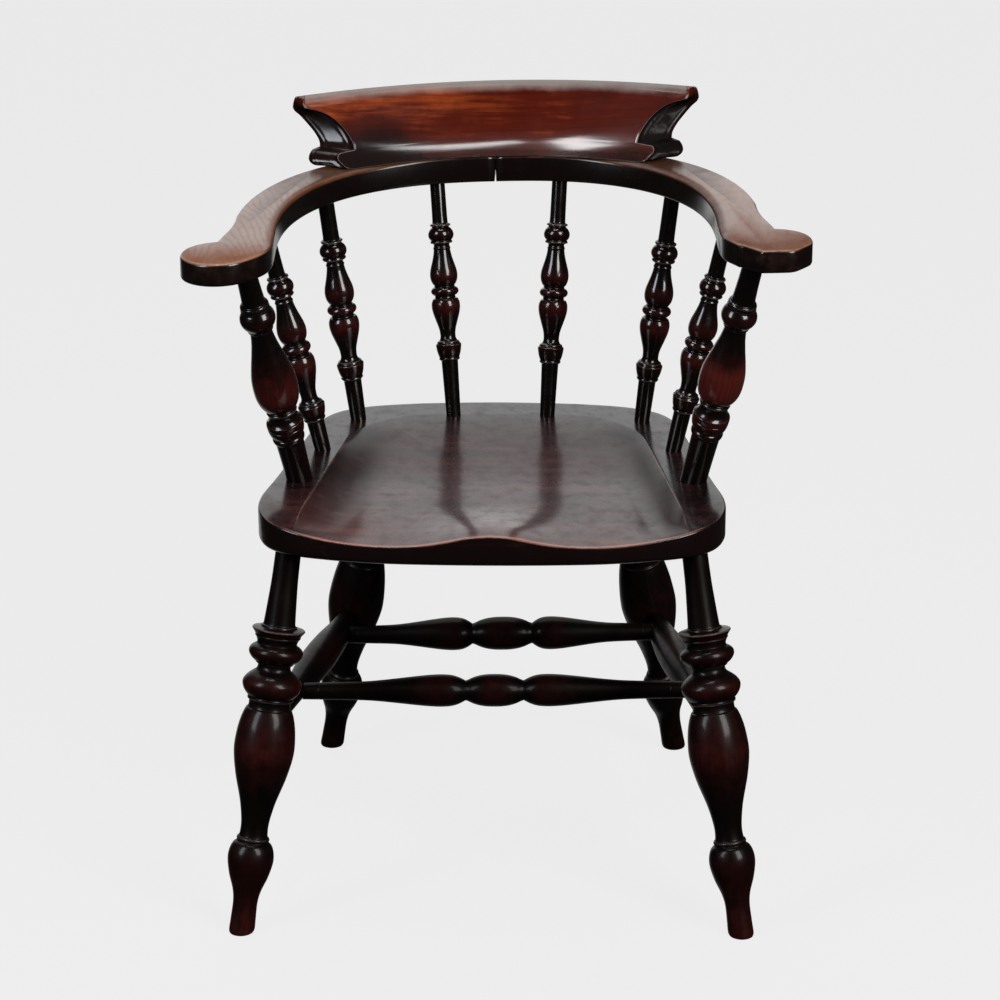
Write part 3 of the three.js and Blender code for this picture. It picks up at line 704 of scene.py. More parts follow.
bowWearAndPaintedShade = {
    "front": (30, -20),  # the hands glow where they face the front
    "frontGlow": {-1: 0.14, 1: 0.2},
    "rail": (300, 390),  # under the crest the bow is painted darker and duller: painted shade of the crest
    "railDirt": 0.42,
    "railShade": (0.6, 0.65),
    "topGlow": (0.8, 0.85),
    # from where the hands are rubbed dull to where they are dullest
    "handled": {-1: (150, 70), 1: (175, 85)},
    "upper": (0.3, 1.0),
    "rollGlow": 0.25,
    "rollDirt": 0.55,
    "rollRubbed": ((0.05, 0.35), (0.7, 1)),
    "rollLine": (0.35, 0.17),
    "edgeLine": 1.5,
    "worn": (0.5, 0.2),  # everywhere, and more on the hands
    "underWorn": 0.1,
    "jointFade": (0, 50),
}


def bowOutline(side):
    power = 2 / chair["bowSquareness"]

    def quarter(half, reach):
        angles = [(1 - i / bow["curveSteps"]) * pi / 2 for i in range(bow["curveSteps"] + 1)]
        return [(half * max(cos(a), 0) ** power, bendY + reach * sin(a) ** power) for a in angles]

    def bezier(handles, count):
        curve = []
        for i in range(1, count):
            t = i / count
            weights = ((1 - t) ** 3, 3 * t * (1 - t) ** 2, 3 * t * t * (1 - t), t ** 3)
            curve.append(tuple(sum((h * w for h, w in zip(handles, weights)), Vector((0, 0)))))
        return curve

    inner = quarter(chair["bowInnerHalf"], chair["bowReach"])
    outer = quarter(chair["bowOuterHalf"], chair["bowReach"] + chair["bowBackWidth"])[::-1]
    outer = [point for point in outer if point[1] > bendY + bow["shoulder"]]
    hand = Vector((bow["handX"], bow["handY"]))
    corner = bow["neckCorner"][side]
    first, last = pi + corner, tau + bow["handCorner"]
    neckStart = Vector((chair["bowInnerHalf"], bendY))
    neckEnd = hand + wayOf(first) * bow["handRadius"]
    neck = bezier([neckStart, neckStart - Vector((0, bow["neckArmLean"][side])),
                   neckEnd + wayOf(corner + pi / 2) * bow["neckHandLean"][side], neckEnd],
                  bow["neckSteps"])
    disc = []
    for i in range(bow["handSteps"] + 1):
        arm = wayOf(lerp(first, last, i / bow["handSteps"])) * bow["handRadius"]
        for bearing, reach in bow["flats"][side]:
            way = wayOf(radians(bearing))
            arm -= way * max(arm.dot(way) - reach, 0) * bow["flatShare"]
        disc.append(tuple(hand + arm))
    handBack, armBack = Vector(disc[-1]), Vector(outer[0])
    nearHand, nearArm = bow["shoulderLeans"]
    shoulder = bezier([handBack, handBack.lerp(armBack, nearHand),
                       armBack - Vector((0, bow["shoulder"] * nearArm)), armBack], bow["shoulderSteps"])
    neckStop = len(inner) + len(neck)
    return inner + neck + disc + shoulder + outer, len(inner), neckStop, neckStop + len(disc)


def bowHalf(side):
    outline, innerEnd, neckEnd, handEnd = bowOutline(side)
    last = len(outline) - 1
    edge, pith = bow["edge"], bow["pith"][side]
    jointX = bowShift(chair["bowInnerBack"] + chair["bowBackWidth"] / 2) + side * chair["woodGap"] / 2
    levels = [("under", k / bow["underSteps"]) for k in range(bow["underSteps"] + 1)]
    levels += [("over", k / bow["overSteps"]) for k in range(bow["overSteps"] + 1)] + [("flat", 1)]
    shell = Shell()
    rings = [[] for level in levels]
    for i, (x, y) in enumerate(outline):
        before, after = outline[max(i - 1, 0)], outline[min(i + 1, last)]
        way = Vector((after[0] - before[0], after[1] - before[1])).normalized()
        outward = Vector((way.y, -way.x)) if 0 < i < last else Vector((0, -1 if i == 0 else 1))
        onBack = smooth(*bow["rollAcross"], x) * smooth(*bow["rollAlong"], y) if i < neckEnd else 0
        onHand = smooth(*bow["handReach"], y - bow["handY"]) if innerEnd <= i < handEnd else 0
        width, depth = (lerp(lerp(edge, rolled, onBack), held, onHand)
                        for rolled, held in zip(bow["roll"], bow["handEdge"]))
        thick = bowThickness(y)
        front = smooth(*bowWearAndPaintedShade["front"], y - bow["handY"]) * bowWearAndPaintedShade["frontGlow"][side] * (i >= innerEnd)
        nearRail = smooth(*bowWearAndPaintedShade["rail"], y)
        # the hands are rubbed dull, and near the crest the bow gets painted shade
        handled = smooth(*bowWearAndPaintedShade["handled"][side], y) + bowWearAndPaintedShade["railDirt"] * nearRail
        # the top's tone is painted darker near the crest: painted shade
        overTone, flatTone = (glow - shade * nearRail
                              for glow, shade in zip(bowWearAndPaintedShade["topGlow"], bowWearAndPaintedShade["railShade"]))
        everywhere, onHands = bowWearAndPaintedShade["worn"]
        amount = (everywhere + onHands * onHand) * smooth(*bowWearAndPaintedShade["jointFade"], x)
        for ring, (level, share) in zip(rings, levels):
            turn = share * pi / 2
            if level == "under":
                inset, height = edge * (1 - sin(turn)), edge * (1 - cos(turn))
                marks = (bowWearAndPaintedShade["underWorn"], 0.0, front * share)
            elif level == "over":
                inset, height = width * (1 - cos(turn)), thick - depth * (1 - sin(turn))
                edgeLine = sin(turn * 2) ** bowWearAndPaintedShade["edgeLine"]
                worn = lerp(edgeLine, bell(share, *bowWearAndPaintedShade["rollLine"]), onBack)
                upper = smooth(*bowWearAndPaintedShade["upper"], share)
                tone = lerp(lerp(bowWearAndPaintedShade["rollGlow"], front, onHand), overTone, upper) if share else front
                start, end = (smooth(*reach, share) for reach in bowWearAndPaintedShade["rollRubbed"])
                rubbed = bowWearAndPaintedShade["rollDirt"] * onBack * start * (1 - end)
                marks = (worn * amount, max(handled * upper, rubbed), tone)
            else:
                inset, height = width + bow["flatStart"], thick
                marks = (0.0, handled, flatTone)
            px = side * (x - outward.x * inset) + bowShift(y)
            py = y - outward.y * inset
            pz = bowUnderside(px, py) + height
            if i in (0, last):
                px = jointX + side * bow["jointCrack"][0 if i == 0 else 1] * (1 - height / thick) ** 2
            ring.append(shell.point((px, py, pz), (py + pith[0], px - pith[1], pz - pith[2]), marks))
    shell.sleeve(rings, closed=False)
    shell.cap(rings[0][::-1])
    shell.cap(rings[-1])
    shell.cap([ring[0] for ring in rings] + [ring[-1] for ring in rings[::-1]])
    name = f"arm_bow_{words[side]}"
    shell.build(f"shaped_{name}", armWoods[side], name)


for side in words:
    bowHalf(side)
print("arm bow shaped")


# Where a post or spindle stands, by shares of the seat's half width and of its depth
def onSeat(side, shares, offset):
    across, along = shares
    return side * across * chair["seatHalf"] + offset, along * chair["seatDepth"], chair["seatHeight"]


posts = {
    "seatShares": (0.857, 0.388),
    "topOutset": 6,
    "tenon": 10,
    "pattern": [
        (-6, 14.2), (0, 14.2), (25, 14.6), (45, 15.2), (51.4, 15.5, 1), (52.2, 17.0, 1), (55, 17.7),
        (57.6, 17.0, 1), (58.6, 15.9, 1), (59.6, 17.0, 1), (63, 18.7), (68, 19.8), (70.8, 20.1, 1),
        (71.4, 19.4), (72, 20.1, 1), (75.6, 20.3), (78.4, 19.9, 1), (79.6, 18.2), (82.6, 16.4),
        (86.4, 15.5), (90.2, 15.3, 1), (91.2, 16.2, 1), (92.8, 16.8), (94.4, 16.1, 1), (95.4, 14.4, 1),
        (98.4, 17.4), (105, 21.2), (114, 23.6), (126, 24.3), (138, 23.6), (152, 20.9), (170.5, 16.4),
        (185, 13.3), (196.4, 11.9), (198.6, 11.9, 1), (199.4, 13.8, 1), (202.6, 14.4, 1),
        (203.4, 14.9, 1), (208, 17.9), (213.4, 19.3), (219, 18.5), (223.4, 16.0, 1), (224.4, 15.1, 1),
        (226.6, 15.9), (228.6, 15.0, 1), (230.4, 15.6), (232.2, 14.8, 1), (233.2, 12.9, 1), (237, 12.4),
        (244, 12.0), (256, 11.5), (284, 10.8),
    ],
    # sideways offsets of foot and top and the slide of the pattern, as turned and set
    -1: {"offsets": (2.2, 4), "shifts": [(0, 0), (55, 2.6), (95, 0), (218, -1), (284, 0)], "glow": 0.05},
    1: {"offsets": (3.8, 4.2), "shifts": [(0, 0), (55, 12), (95, 12), (126, 9), (218, 3), (284, 0)],
        "glow": 0.6},
}
for side, word in words.items():
    post = posts[side]
    foot = onSeat(side, posts["seatShares"], post["offsets"][0])
    middle = (chair["bowInnerHalf"] + chair["bowOuterHalf"]) / 2 + posts["topOutset"]
    x = side * middle + bowShift(bow["handY"]) + post["offsets"][1]
    top = (x, bow["handY"], bowUnderside(x, bow["handY"]))
    turnedRows = byEye(posts["pattern"], post["shifts"])
    turnedRows[-1] = (dist(foot, top) + posts["tenon"], turnedRows[-1][1])
    turnedPiece(f"arm_post_{word}", turnedRows, foot, top, f"post {word}", post["glow"])

# Spindle rows are measured from the middle of the lower bead
spindles = {
    "kinds": {
        "side": {"seat": (0.784, 0.614), "bow": 0.974, "bead": 0.198},
        "corner": {"seat": (0.653, 0.854), "bow": 0.757, "bead": 0.236},
        "back": {"seat": (0.215, 0.891), "bow": 0.267, "bead": 0.279},
    },
    "sunk": 6,
    "glow": -0.05,
    # sideways offsets of foot and top, slide of the lower and upper bead, girth
    "settings": {
        "side_left": ((2.2, 2.2), (-3, 9), 1.04), "side_right": ((2.8, 2.8), (8.7, 9.5), 1.02),
        "corner_left": ((3, 3), (0, 4.5), 1.06), "corner_right": ((2.3, 1.3), (-0.5, 2.5), 1.04),
        "back_left": ((2.4, -0.8), (3.5, -0.5), 1.0), "back_right": ((3, 1.2), (0, 0), 1.02),
    },
    "lowerBead": 12,
    "upperBead": 136,
    "patternEnd": 200,
    "pattern": [
        (-80, 8.2), (-40, 8.9), (-12.2, 9.5, 1), (-11.2, 11.4, 1), (-9.6, 12.0), (-8.4, 11.3, 1),
        (-6, 12.3), (-1.3, 13.6), (3, 14.3), (6.4, 14.7, 1), (7.4, 13.9), (8.4, 12.8, 1),
        (10.2, 12.6, 1), (11, 10.6), (12.8, 9.4), (14.8, 8.8), (17, 8.7), (24, 9.4), (35, 12.6),
        (44, 15.2), (51, 16.3), (57, 15.9), (61, 14.2, 1), (62, 11.8, 1), (64.4, 11.6, 1),
        (65.2, 13.2, 1), (67, 15.0), (69.8, 15.9), (72.6, 15.0), (74.4, 13.2, 1), (75.2, 11.6, 1),
        (77.2, 11.8, 1), (78.0, 12.9, 1), (82, 14.8), (88.5, 15.8), (95, 15.1), (101, 13.5), (108, 11.5),
        (115, 10.0), (119.4, 9.4, 1), (120.2, 9.9), (121.6, 9.9), (122.4, 9.1, 1), (124.8, 8.9),
        (126, 9.6, 1), (126.6, 12.1, 1), (127.8, 12.8), (129.2, 12.2, 1), (130.2, 11.6, 1),
        (131.0, 12.7, 1), (133, 13.9), (136.3, 14.6), (139.8, 14.0), (143.2, 12.0), (145.2, 9.8, 1),
        (145.9, 9.6, 1), (146.6, 11.4, 1), (147.8, 11.9), (149.0, 11.1, 1), (149.8, 8.9, 1), (156, 8.7),
        (200, 8.5),
    ],
}
for side, word in words.items():
    for kind, place in spindles["kinds"].items():
        offsets, (slideLow, slideHigh), girth = spindles["settings"][f"{kind}_{word}"]
        foot = onSeat(side, place["seat"], offsets[0])
        share = side * place["bow"]
        x = share * (chair["bowInnerHalf"] + chair["bowOuterHalf"]) / 2 + offsets[1]
        y = bendY + (chair["bowReach"] + chair["bowBackWidth"] / 2) * squaredArc(share)
        top = (x, y, bowUnderside(x, y))
        bead = place["bead"] * chair["armHeight"]
        near = spindles["lowerBead"]
        shifts = [(-bead, 0), (-near, slideLow), (near, slideLow), (spindles["upperBead"], slideHigh),
                  (spindles["patternEnd"], slideHigh)]
        turnedRows = [(bead + row[0], *row[1:]) for row in byEye(spindles["pattern"], shifts, girth)]
        turnedRows[0] = (-spindles["sunk"], turnedRows[0][1])
        turnedRows[-1] = (dist(foot, top) + spindles["sunk"], turnedRows[-1][1])
        seed = f"spindle {kind} {word}"
        turnedPiece(f"spindle_{kind}_{word}", turnedRows, foot, top, seed, spindles["glow"])
print("posts and spindles turned")


# The seat: rings from the middle of the dish to its edge, over the flat rim and round the board's edges
seat = {
    "outline": [
        (0, 0), (0.25, 0.003), (0.49, 0.013), (0.7, 0.036), (0.85, 0.064), (0.949, 0.108), (0.994, 0.17),
        (1, 0.25), (0.956, 0.39), (0.9, 0.57), (0.85, 0.75), (0.81, 0.85), (0.74, 0.915), (0.62, 0.957),
        (0.42, 0.984), (0.2, 0.996), (0, 1),
    ],
    "frontPoints": 7,  # of the outline
    "outlineSteps": 16,
    "dishDepth": 16,
    "dishHalf": (214, 148),  # at the front and at the rear
    "dishRearMargin": 45,
    "dishCorner": 92,
    "shoulderSide": (56, 40),  # how wide the dish's wall is on the left and on the right
    "shoulderBlend": 40,
    "shoulderRear": 205,
    "rearSoftness": 0.8,
    # how far the front edge is worked down, by distance from the middle
    "frontDrops": [
        (0, 3), (22, 4.6), (45, 9.5), (68, 13.6), (88, 15.5), (110, 16.4), (135, 16.1), (165, 14.2),
        (190, 11.2), (215, 7.4), (235, 3.8), (249, 1), (260, 0),
    ],
    "frontSteps": 8,
    "frontReach": 66,
    "frontFollow": 0.9,
    "pommelHeight": 13,
    "pommelHalf": 56,
    "pommelLength": 140,
    "topEdge": 2.2,
    "lowEdge": 6.5,
    "edgeSteps": 5,
    "leastRim": 0.6,
    "openReach": (-12, -4),  # how near the dish comes to the board's edge where it is open to it
    "sides": 360,
    "dishRings": 64,
    "dishCrowding": 1.5,
    "rimRings": 12,
    "rimCrowding": 1.2,
    "lowRings": 4,
    "lowHole": 30,
    "edgeTries": 22,
    "pith": (700, -30, -380),
    "middleGrain": 60,  # how high in its timber the middle of the dish lies
}
seatWearAndPaintedShade = {
    "ridge": (3.0, 0.5),  # half width and amount of the worn line where the dish starts
    "ridgeReach": (470, 260),
    "lip": (-2.8, 3.9),
    "lipAmounts": (0.35, 1),  # round the board and along the front
    "lipReach": (60, 10),
    "lipWall": 0.7,
    "tones": (0.2, 0.6),  # on the rim and in the dish
    "toneReach": 70,
    "ruddyPatch": ((-185, 60), (75, 75)),
    "ruddyAmounts": (0.45, 0.15),  # in the patch and along the front
    "ruddyFront": (120, 20),
    # a painted dark band inside the dish's sides, standing in for the dark reflection of its tilted shoulders
    "grimeWidths": (24, 12),  # left and right
    "grimeAmounts": (1.0, 0.7),
    "grimeReach": ((20, 60), (360, 250)),
    "underWorn": 0.1,
}
frontDrops = smoothLine(seat["frontDrops"], seat["frontSteps"])
seatHalf = [(x * chair["seatHalf"], y * chair["seatDepth"]) for x, y in seat["outline"]]
frontEdge = seatHalf[:seat["frontPoints"]]


def dishInside(x, y):
    side = lerp(*seat["dishHalf"], y / chair["seatDepth"]) - abs(x)
    rear = chair["seatDepth"] - seat["dishRearMargin"] - y
    corner = hypot(max(seat["dishCorner"] - side, 0), max(seat["dishCorner"] - rear, 0))
    return min(side, rear, seat["dishCorner"] - corner), side, rear


def dishDrop(x, y):
    inside, side, rear = dishInside(x, y)
    rightward = clamp(x / seat["shoulderBlend"], -1, 1) * 0.5 + 0.5
    slope = clamp(side / lerp(*seat["shoulderSide"], rightward))
    steep = 1 - (1 - slope) ** 2
    back = clamp(rear / seat["shoulderRear"])
    soft = lerp(1 - (1 - back) ** 2, smooth(0, 1, back), seat["rearSoftness"])
    corner = clamp(inside / max(min(side, rear, seat["dishCorner"]), 1e-3))
    dish = seat["dishDepth"] * steep * soft * corner
    ridge = 1 - smooth(0, seat["pommelLength"], y)
    dish -= seat["pommelHeight"] * bell(x, 0, seat["pommelHalf"]) * ridge * slope
    fromFront = y - tableValue(frontEdge, abs(x)) * seat["frontFollow"]
    return lerp(dish, tableValue(frontDrops, abs(x)), smooth(seat["frontReach"], 0, fromFront))


def seatMarks(x, y, fromDish, fromEdge, isOpen, drop):
    wearAndPaintedLight, isRight = seatWearAndPaintedShade, x >= 0
    inside = dishInside(x, y)[0]
    wall = clamp(drop / seat["topEdge"])
    ridgeHalf, ridgeAmount = wearAndPaintedLight["ridge"]
    ridge = ridgeAmount * bell(fromDish, 0, ridgeHalf) * (1 - isOpen) * smooth(*wearAndPaintedLight["ridgeReach"], y)
    lip = bell(fromEdge, *wearAndPaintedLight["lip"]) * lerp(*wearAndPaintedLight["lipAmounts"], smooth(*wearAndPaintedLight["lipReach"], y))
    inPatch, inFront = wearAndPaintedLight["ruddyAmounts"]
    (patchX, wide), (patchY, deep) = wearAndPaintedLight["ruddyPatch"]
    ruddy = inPatch * bell(x, patchX, wide) * bell(y, patchY, deep) + inFront * smooth(*wearAndPaintedLight["ruddyFront"], y)
    tone = lerp(*wearAndPaintedLight["tones"], clamp(inside / wearAndPaintedLight["toneReach"])) + ruddy
    # a dark, dulled band inside the dish's sides: painted shade
    width = wearAndPaintedLight["grimeWidths"][isRight]
    grime = bell(inside, width, width) * wearAndPaintedLight["grimeAmounts"][isRight] * (fromDish < 0)
    for reach in wearAndPaintedLight["grimeReach"]:
        grime *= smooth(*reach, y)
    return max(ridge, lip * (1 - wall * wearAndPaintedLight["lipWall"])), grime * (1 - wall), tone * (1 - wall)


def buildSeat():
    loop = seatHalf + [(-x, y) for x, y in seatHalf[-2:0:-1]]
    line = smoothLine(loop, seat["outlineSteps"], closed=True)
    middleY = chair["seatDepth"] / 2
    reaches = sorted((atan2(y - middleY, x), hypot(x, y - middleY)) for x, y in line)
    table = [(reaches[-1][0] - tau, reaches[-1][1]), *reaches,
             (reaches[0][0] + tau, reaches[0][1])]
    top, low = seat["topEdge"], seat["lowEdge"]
    underside = chair["seatHeight"] - chair["seatThickness"]
    turns = [k / seat["edgeSteps"] * pi / 2 for k in range(seat["edgeSteps"] + 1)]
    dishShares = [1 - (1 - (k + 1) / seat["dishRings"]) ** seat["dishCrowding"]
                  for k in range(seat["dishRings"])]
    rimShares = [((k + 1) / seat["rimRings"]) ** seat["rimCrowding"] for k in range(seat["rimRings"])]
    lowShares = [(k + 1) / seat["lowRings"] for k in range(seat["lowRings"])]
    pithX, pithY, pithZ = seat["pith"]
    shell = Shell()
    columns = []
    for k in range(seat["sides"]):
        angle = -pi + tau * k / seat["sides"]
        wayX, wayY = cos(angle), sin(angle)
        reach = tableValue(table, angle)
        near, far = 0.0, reach
        for _ in range(seat["edgeTries"]):  # where the dish's edge crosses this bearing
            middle = (near + far) / 2
            if dishInside(wayX * middle, middleY + wayY * middle)[0] > 0:
                near = middle
            else:
                far = middle
        dishEdge = min(near, reach - top - seat["leastRim"])
        isOpen = smooth(*seat["openReach"], near - reach)
        # distance from the middle, then how far below the top or how far above the underside
        profile = [(dishEdge * share, 0, None) for share in dishShares]
        profile += [(lerp(dishEdge, reach - top, share), 0, None) for share in rimShares]
        profile += [(reach - top + top * sin(t), top * (1 - cos(t)), None) for t in turns[1:]]
        profile += [(reach - low * (1 - cos(t)), None, low * (1 - sin(t))) for t in turns]
        profile += [(lerp(reach - low, seat["lowHole"], share), None, 0) for share in lowShares]
        column = []
        for distance, drop, lift in profile:
            x, y = wayX * distance, middleY + wayY * distance
            if drop is None:
                z, marks = underside + lift, (seatWearAndPaintedShade["underWorn"], 0.0, 0.0)
            else:
                z = chair["seatHeight"] - dishDrop(x, y) - drop
                marks = seatMarks(x, y, distance - dishEdge, distance - reach, isOpen, drop)
            column.append(shell.point((x, y, z), (x + pithX, y + pithY, z + pithZ), marks))
        columns.append(column)
    rings = list(zip(*columns))
    shell.sleeve(rings)
    dishTone = seatWearAndPaintedShade["tones"][1]
    ends = ((rings[0][::-1], chair["seatHeight"] - dishDrop(0, middleY), seat["middleGrain"], dishTone),
            (rings[-1], underside, underside + pithZ, 0))
    for ring, z, grainZ, tone in ends:
        shell.fan(ring, shell.point((0, middleY, z), (pithX, middleY + pithY, grainZ), (0, 0, tone)))
    shell.build("saddled_seat", seatWood, "seat")


buildSeat()
print("seat saddled")

# The crest rail: loops from its foot to its top, with hollow faces, coved ears and scroll feet
crest = {
    "height": 72,
    "half": 230,
    "footDepth": 40,
    "crown": 3,
    "frontRake": 48,
    "backRake": 22,
    "topFlattening": 0.5,
    "backFlattening": 0.36,
    "sagShare": 0.61,
    "sagWidth": 0.85,
    "frontHollow": [(0, 0), (0.1, 0.178), (0.2, 0.332), (0.35, 0.52), (0.55, 0.713), (0.75, 0.862),
                    (0.9, 0.957), (1, 1)],
    "backHollow": [(0, 0), (0.35, 0.45), (0.6, 0.75), (0.9, 1), (1, 0.98)],
    "hollowSteps": 40,
    # front half width, front height, back half width, back height, as shares; rows from the foot up
    "scroll": [(0.700, 0, 0.862, 0), (0.727, 0.02, 0.886, 0.02), (0.749, 0.069, 0.906, 0.062),
               (0.768, 0.12, 0.915, 0.1), (0.774, 0.16, 0.917, 0.139), (0.772, 0.19, 0.912, 0.19),
               (0.764, 0.208, 0.902, 0.229)],
    "step": [(0.764, 0.208, 0.902, 0.229), (0.694, 0.222, 0.864, 0.257)],
    "cove": [(0.694, 0.222, 0.864, 0.257), (0.702, 0.306, 0.868, 0.333), (0.726, 0.431, 0.889, 0.444),
             (0.762, 0.569, 0.923, 0.569), (0.821, 0.722, 0.966, 0.708),
             (0.874, 0.795, 0.989, 0.775), (0.942, 0.858, 1, 0.828)],
    "scrollSteps": 4,
    "stepSteps": 3,
    "coveSteps": 8,
    "columns": 96,
    "evenShare": 0.78,  # of the columns, that keep their places from row to row
    "evenReach": {"front": 142, "back": 184},
    "depthSteps": 8,
    "arrisSteps": 5,
    # how the top rounds over: share of the way in to the peak, share of the way up
    "topProfile": [(0, 0), (0.1, 0.28), (0.22, 0.5), (0.38, 0.7), (0.56, 0.85), (0.78, 0.96), (1, 1)],
    "topSteps": 3,
    "topSqueeze": 0.98,  # how far in the last loop lies
    "topHeight": 72.8,
    "topPeak": 0.7,  # where the peak lies, from front to back
    "topFlare": (0.03, -0.02),
    "arris": {"front": (1.3, 4.5), "back": (1.0, 4.5)},  # at the foot and at the tips of the ears
    "tipReach": (0.7, 0.86),
    "pith": (300, 25, -700),
    "pithDepth": (432, 0.6),  # from where and how strongly the timber's depth counts
}
crestWearAndPaintedLight = {
    # the pale upper edge is a painted grey sheen, carried as wear
    "top": (0.74, 0.26, 0.9),  # where the pale upper edge starts, its share of the height, its amount
    "blotch": ((-140, 48), (0.2, 0.38)),  # dark patch: x, half width, height share, half height
    "blotchDirt": 0.6,
    "blotchShade": 0.5,
    "tones": (0.3, 0.6),  # at the foot and above it
    "footReach": (0.0, 0.3),
    "leftGlow": 0.28,
    "leftReach": ((70, -110), (0.3, 0.75)),
    "rightShade": 0.12,
    "rightReach": (30, 170),
    "tip": (0.78, 0.92),
    # the coves are painted near-black and dulled: painted shade
    "grime": {-1: 0.75, 1: 0.95},
    "leftGrime": (0.3, 0.55),  # where the left cove's painted shade starts and where it is full
    "leastGrime": 0.2,
    "arrisGrime": (0.5, 1),
    "arrisFoot": (0.1, 0.3),
    "arrisFootWorn": 0.85,
    "arrisTop": (0.84, 0.95),
    "arrisLine": 0.7,
    "arrisTones": (0.3, 0.1, 0.5),  # at the face, round the corner and at the tips of the ears
    # tone of the end faces: near-black in the coves as painted shade, lighter at the tips of the ears
    "endTones": (0.04, 0.4),
    "back": (0.0, 0.3, 0.25),
}


def crestCurve(x):
    sagX = crest["sagWidth"] * chair["bowInnerHalf"]
    sag = chair["bowReach"] * (1 - squaredArc(crest["sagWidth"]))
    return crest["sagShare"] * sag * (x / sagX) ** 2


frontHollow, backHollow = (smoothLine(crest[key], crest["hollowSteps"])
                           for key in ("frontHollow", "backHollow"))


def crestFront(x, share):
    rake = crest["frontRake"] * tableValue(frontHollow, share)
    return chair["bowInnerBack"] + rake - crestCurve(x) * lerp(1, crest["topFlattening"], share)


def crestBack(x, share):
    rake = crest["backRake"] * tableValue(backHollow, share)
    return (chair["bowInnerBack"] + crest["footDepth"] + rake
            - crestCurve(x) * lerp(1, crest["backFlattening"], share))


# A loop point is its run (front or back), its column from -1 to 1, its depth share and its turn
# round an arris
def crestLoop():
    columns = [-1 + 2 * k / crest["columns"] for k in range(crest["columns"] + 1)]
    turns = [(k + 1) / crest["arrisSteps"] for k in range(crest["arrisSteps"])]
    depths = [k / crest["depthSteps"] for k in range(1, crest["depthSteps"])]

    def end(sign):
        return ([("front", sign, 0, turn) for turn in turns] + [("end", sign, depth, 1) for depth in depths]
                + [("back", sign, 1, turn) for turn in turns[::-1]])

    return ([("front", column, 0, 0) for column in columns] + end(1)
            + [("back", column, 1, 0) for column in columns[::-1]] + end(-1)[::-1])


def crestPoint(row, loopPoint, squeeze):
    run, column, depth, turn = loopPoint
    sign = 1 if column > 0 else -1
    tip = smooth(*crest["tipReach"], row[1])
    radii = {key: lerp(*arris, tip) for key, arris in crest["arris"].items()}
    halves = {"front": row[0] * crest["half"], "back": row[2] * crest["half"]}
    nearY = crestFront(sign * halves["front"], row[1])
    thickness = max(crestBack(sign * halves["back"], row[3]) - nearY, 1)
    if run == "end":
        depth = lerp(radii["front"] / thickness, 1 - radii["back"] / thickness, depth)
        x = sign * lerp(halves["front"], halves["back"], depth)
    else:
        even = crest["evenReach"][run]
        beyond = (abs(column) - crest["evenShare"]) / (1 - crest["evenShare"])
        if beyond > 0:
            x = sign * lerp(even, halves[run] - radii[run], beyond)
        else:
            x = sign * even * abs(column) / crest["evenShare"]
        angle = turn * pi / 2
        x += sign * radii[run] * sin(angle)
        inward = radii[run] * (1 - cos(angle)) / thickness
        depth = inward if run == "front" else 1 - inward
    depth = lerp(depth, crest["topPeak"], squeeze)
    y = lerp(crestFront(x, row[1]), crestBack(x, row[3]), depth)
    across = x / max(lerp(halves["front"], halves["back"], depth), 1)
    height = lerp(row[1], row[3], depth) * (crest["height"] - crest["crown"] * across ** 2)
    return x, y, height


def crestMarks(run, turn, x, share):
    wearAndPaintedLight = crestWearAndPaintedLight
    if run == "front" and turn == 0:
        (spotX, spotWide), (spotHigh, spotTall) = wearAndPaintedLight["blotch"]
        blotch = bell(x, spotX, spotWide) * bell(share, spotHigh, spotTall)
        leftward, upward = wearAndPaintedLight["leftReach"]
        glow = lerp(*wearAndPaintedLight["tones"], smooth(*wearAndPaintedLight["footReach"], share))
        glow += wearAndPaintedLight["leftGlow"] * smooth(*leftward, x) * smooth(*upward, share)
        glow -= wearAndPaintedLight["rightShade"] * smooth(*wearAndPaintedLight["rightReach"], x)
        # the pale band along the top is a painted sheen, carried as wear
        start, span, amount = wearAndPaintedLight["top"]
        worn = amount * clamp((share - start) / span)
        return worn, blotch * wearAndPaintedLight["blotchDirt"], clamp(glow - blotch * wearAndPaintedLight["blotchShade"])
    sign = 1 if x > 0 else -1
    # the coves and the arrises beside them are painted darker: painted shade
    tip = smooth(*wearAndPaintedLight["tip"], share)
    grime = wearAndPaintedLight["grime"][sign] * (1 - tip)
    if sign < 0:
        grime *= lerp(wearAndPaintedLight["leastGrime"], 1, smooth(*wearAndPaintedLight["leftGrime"], share))
    if run == "front":
        fade = 1 - smooth(*wearAndPaintedLight["arrisTop"], share)
        fade *= lerp(wearAndPaintedLight["arrisFootWorn"], 1, smooth(*wearAndPaintedLight["arrisFoot"], share))
        atFace, atCorner, atTip = wearAndPaintedLight["arrisTones"]
        worn = fade * sin(turn * pi) ** wearAndPaintedLight["arrisLine"]
        return worn, grime * smooth(*wearAndPaintedLight["arrisGrime"], turn), lerp(lerp(atFace, atCorner, turn), atTip, tip)
    if run == "end":
        return 0.0, grime, lerp(*wearAndPaintedLight["endTones"], tip)
    return wearAndPaintedLight["back"]


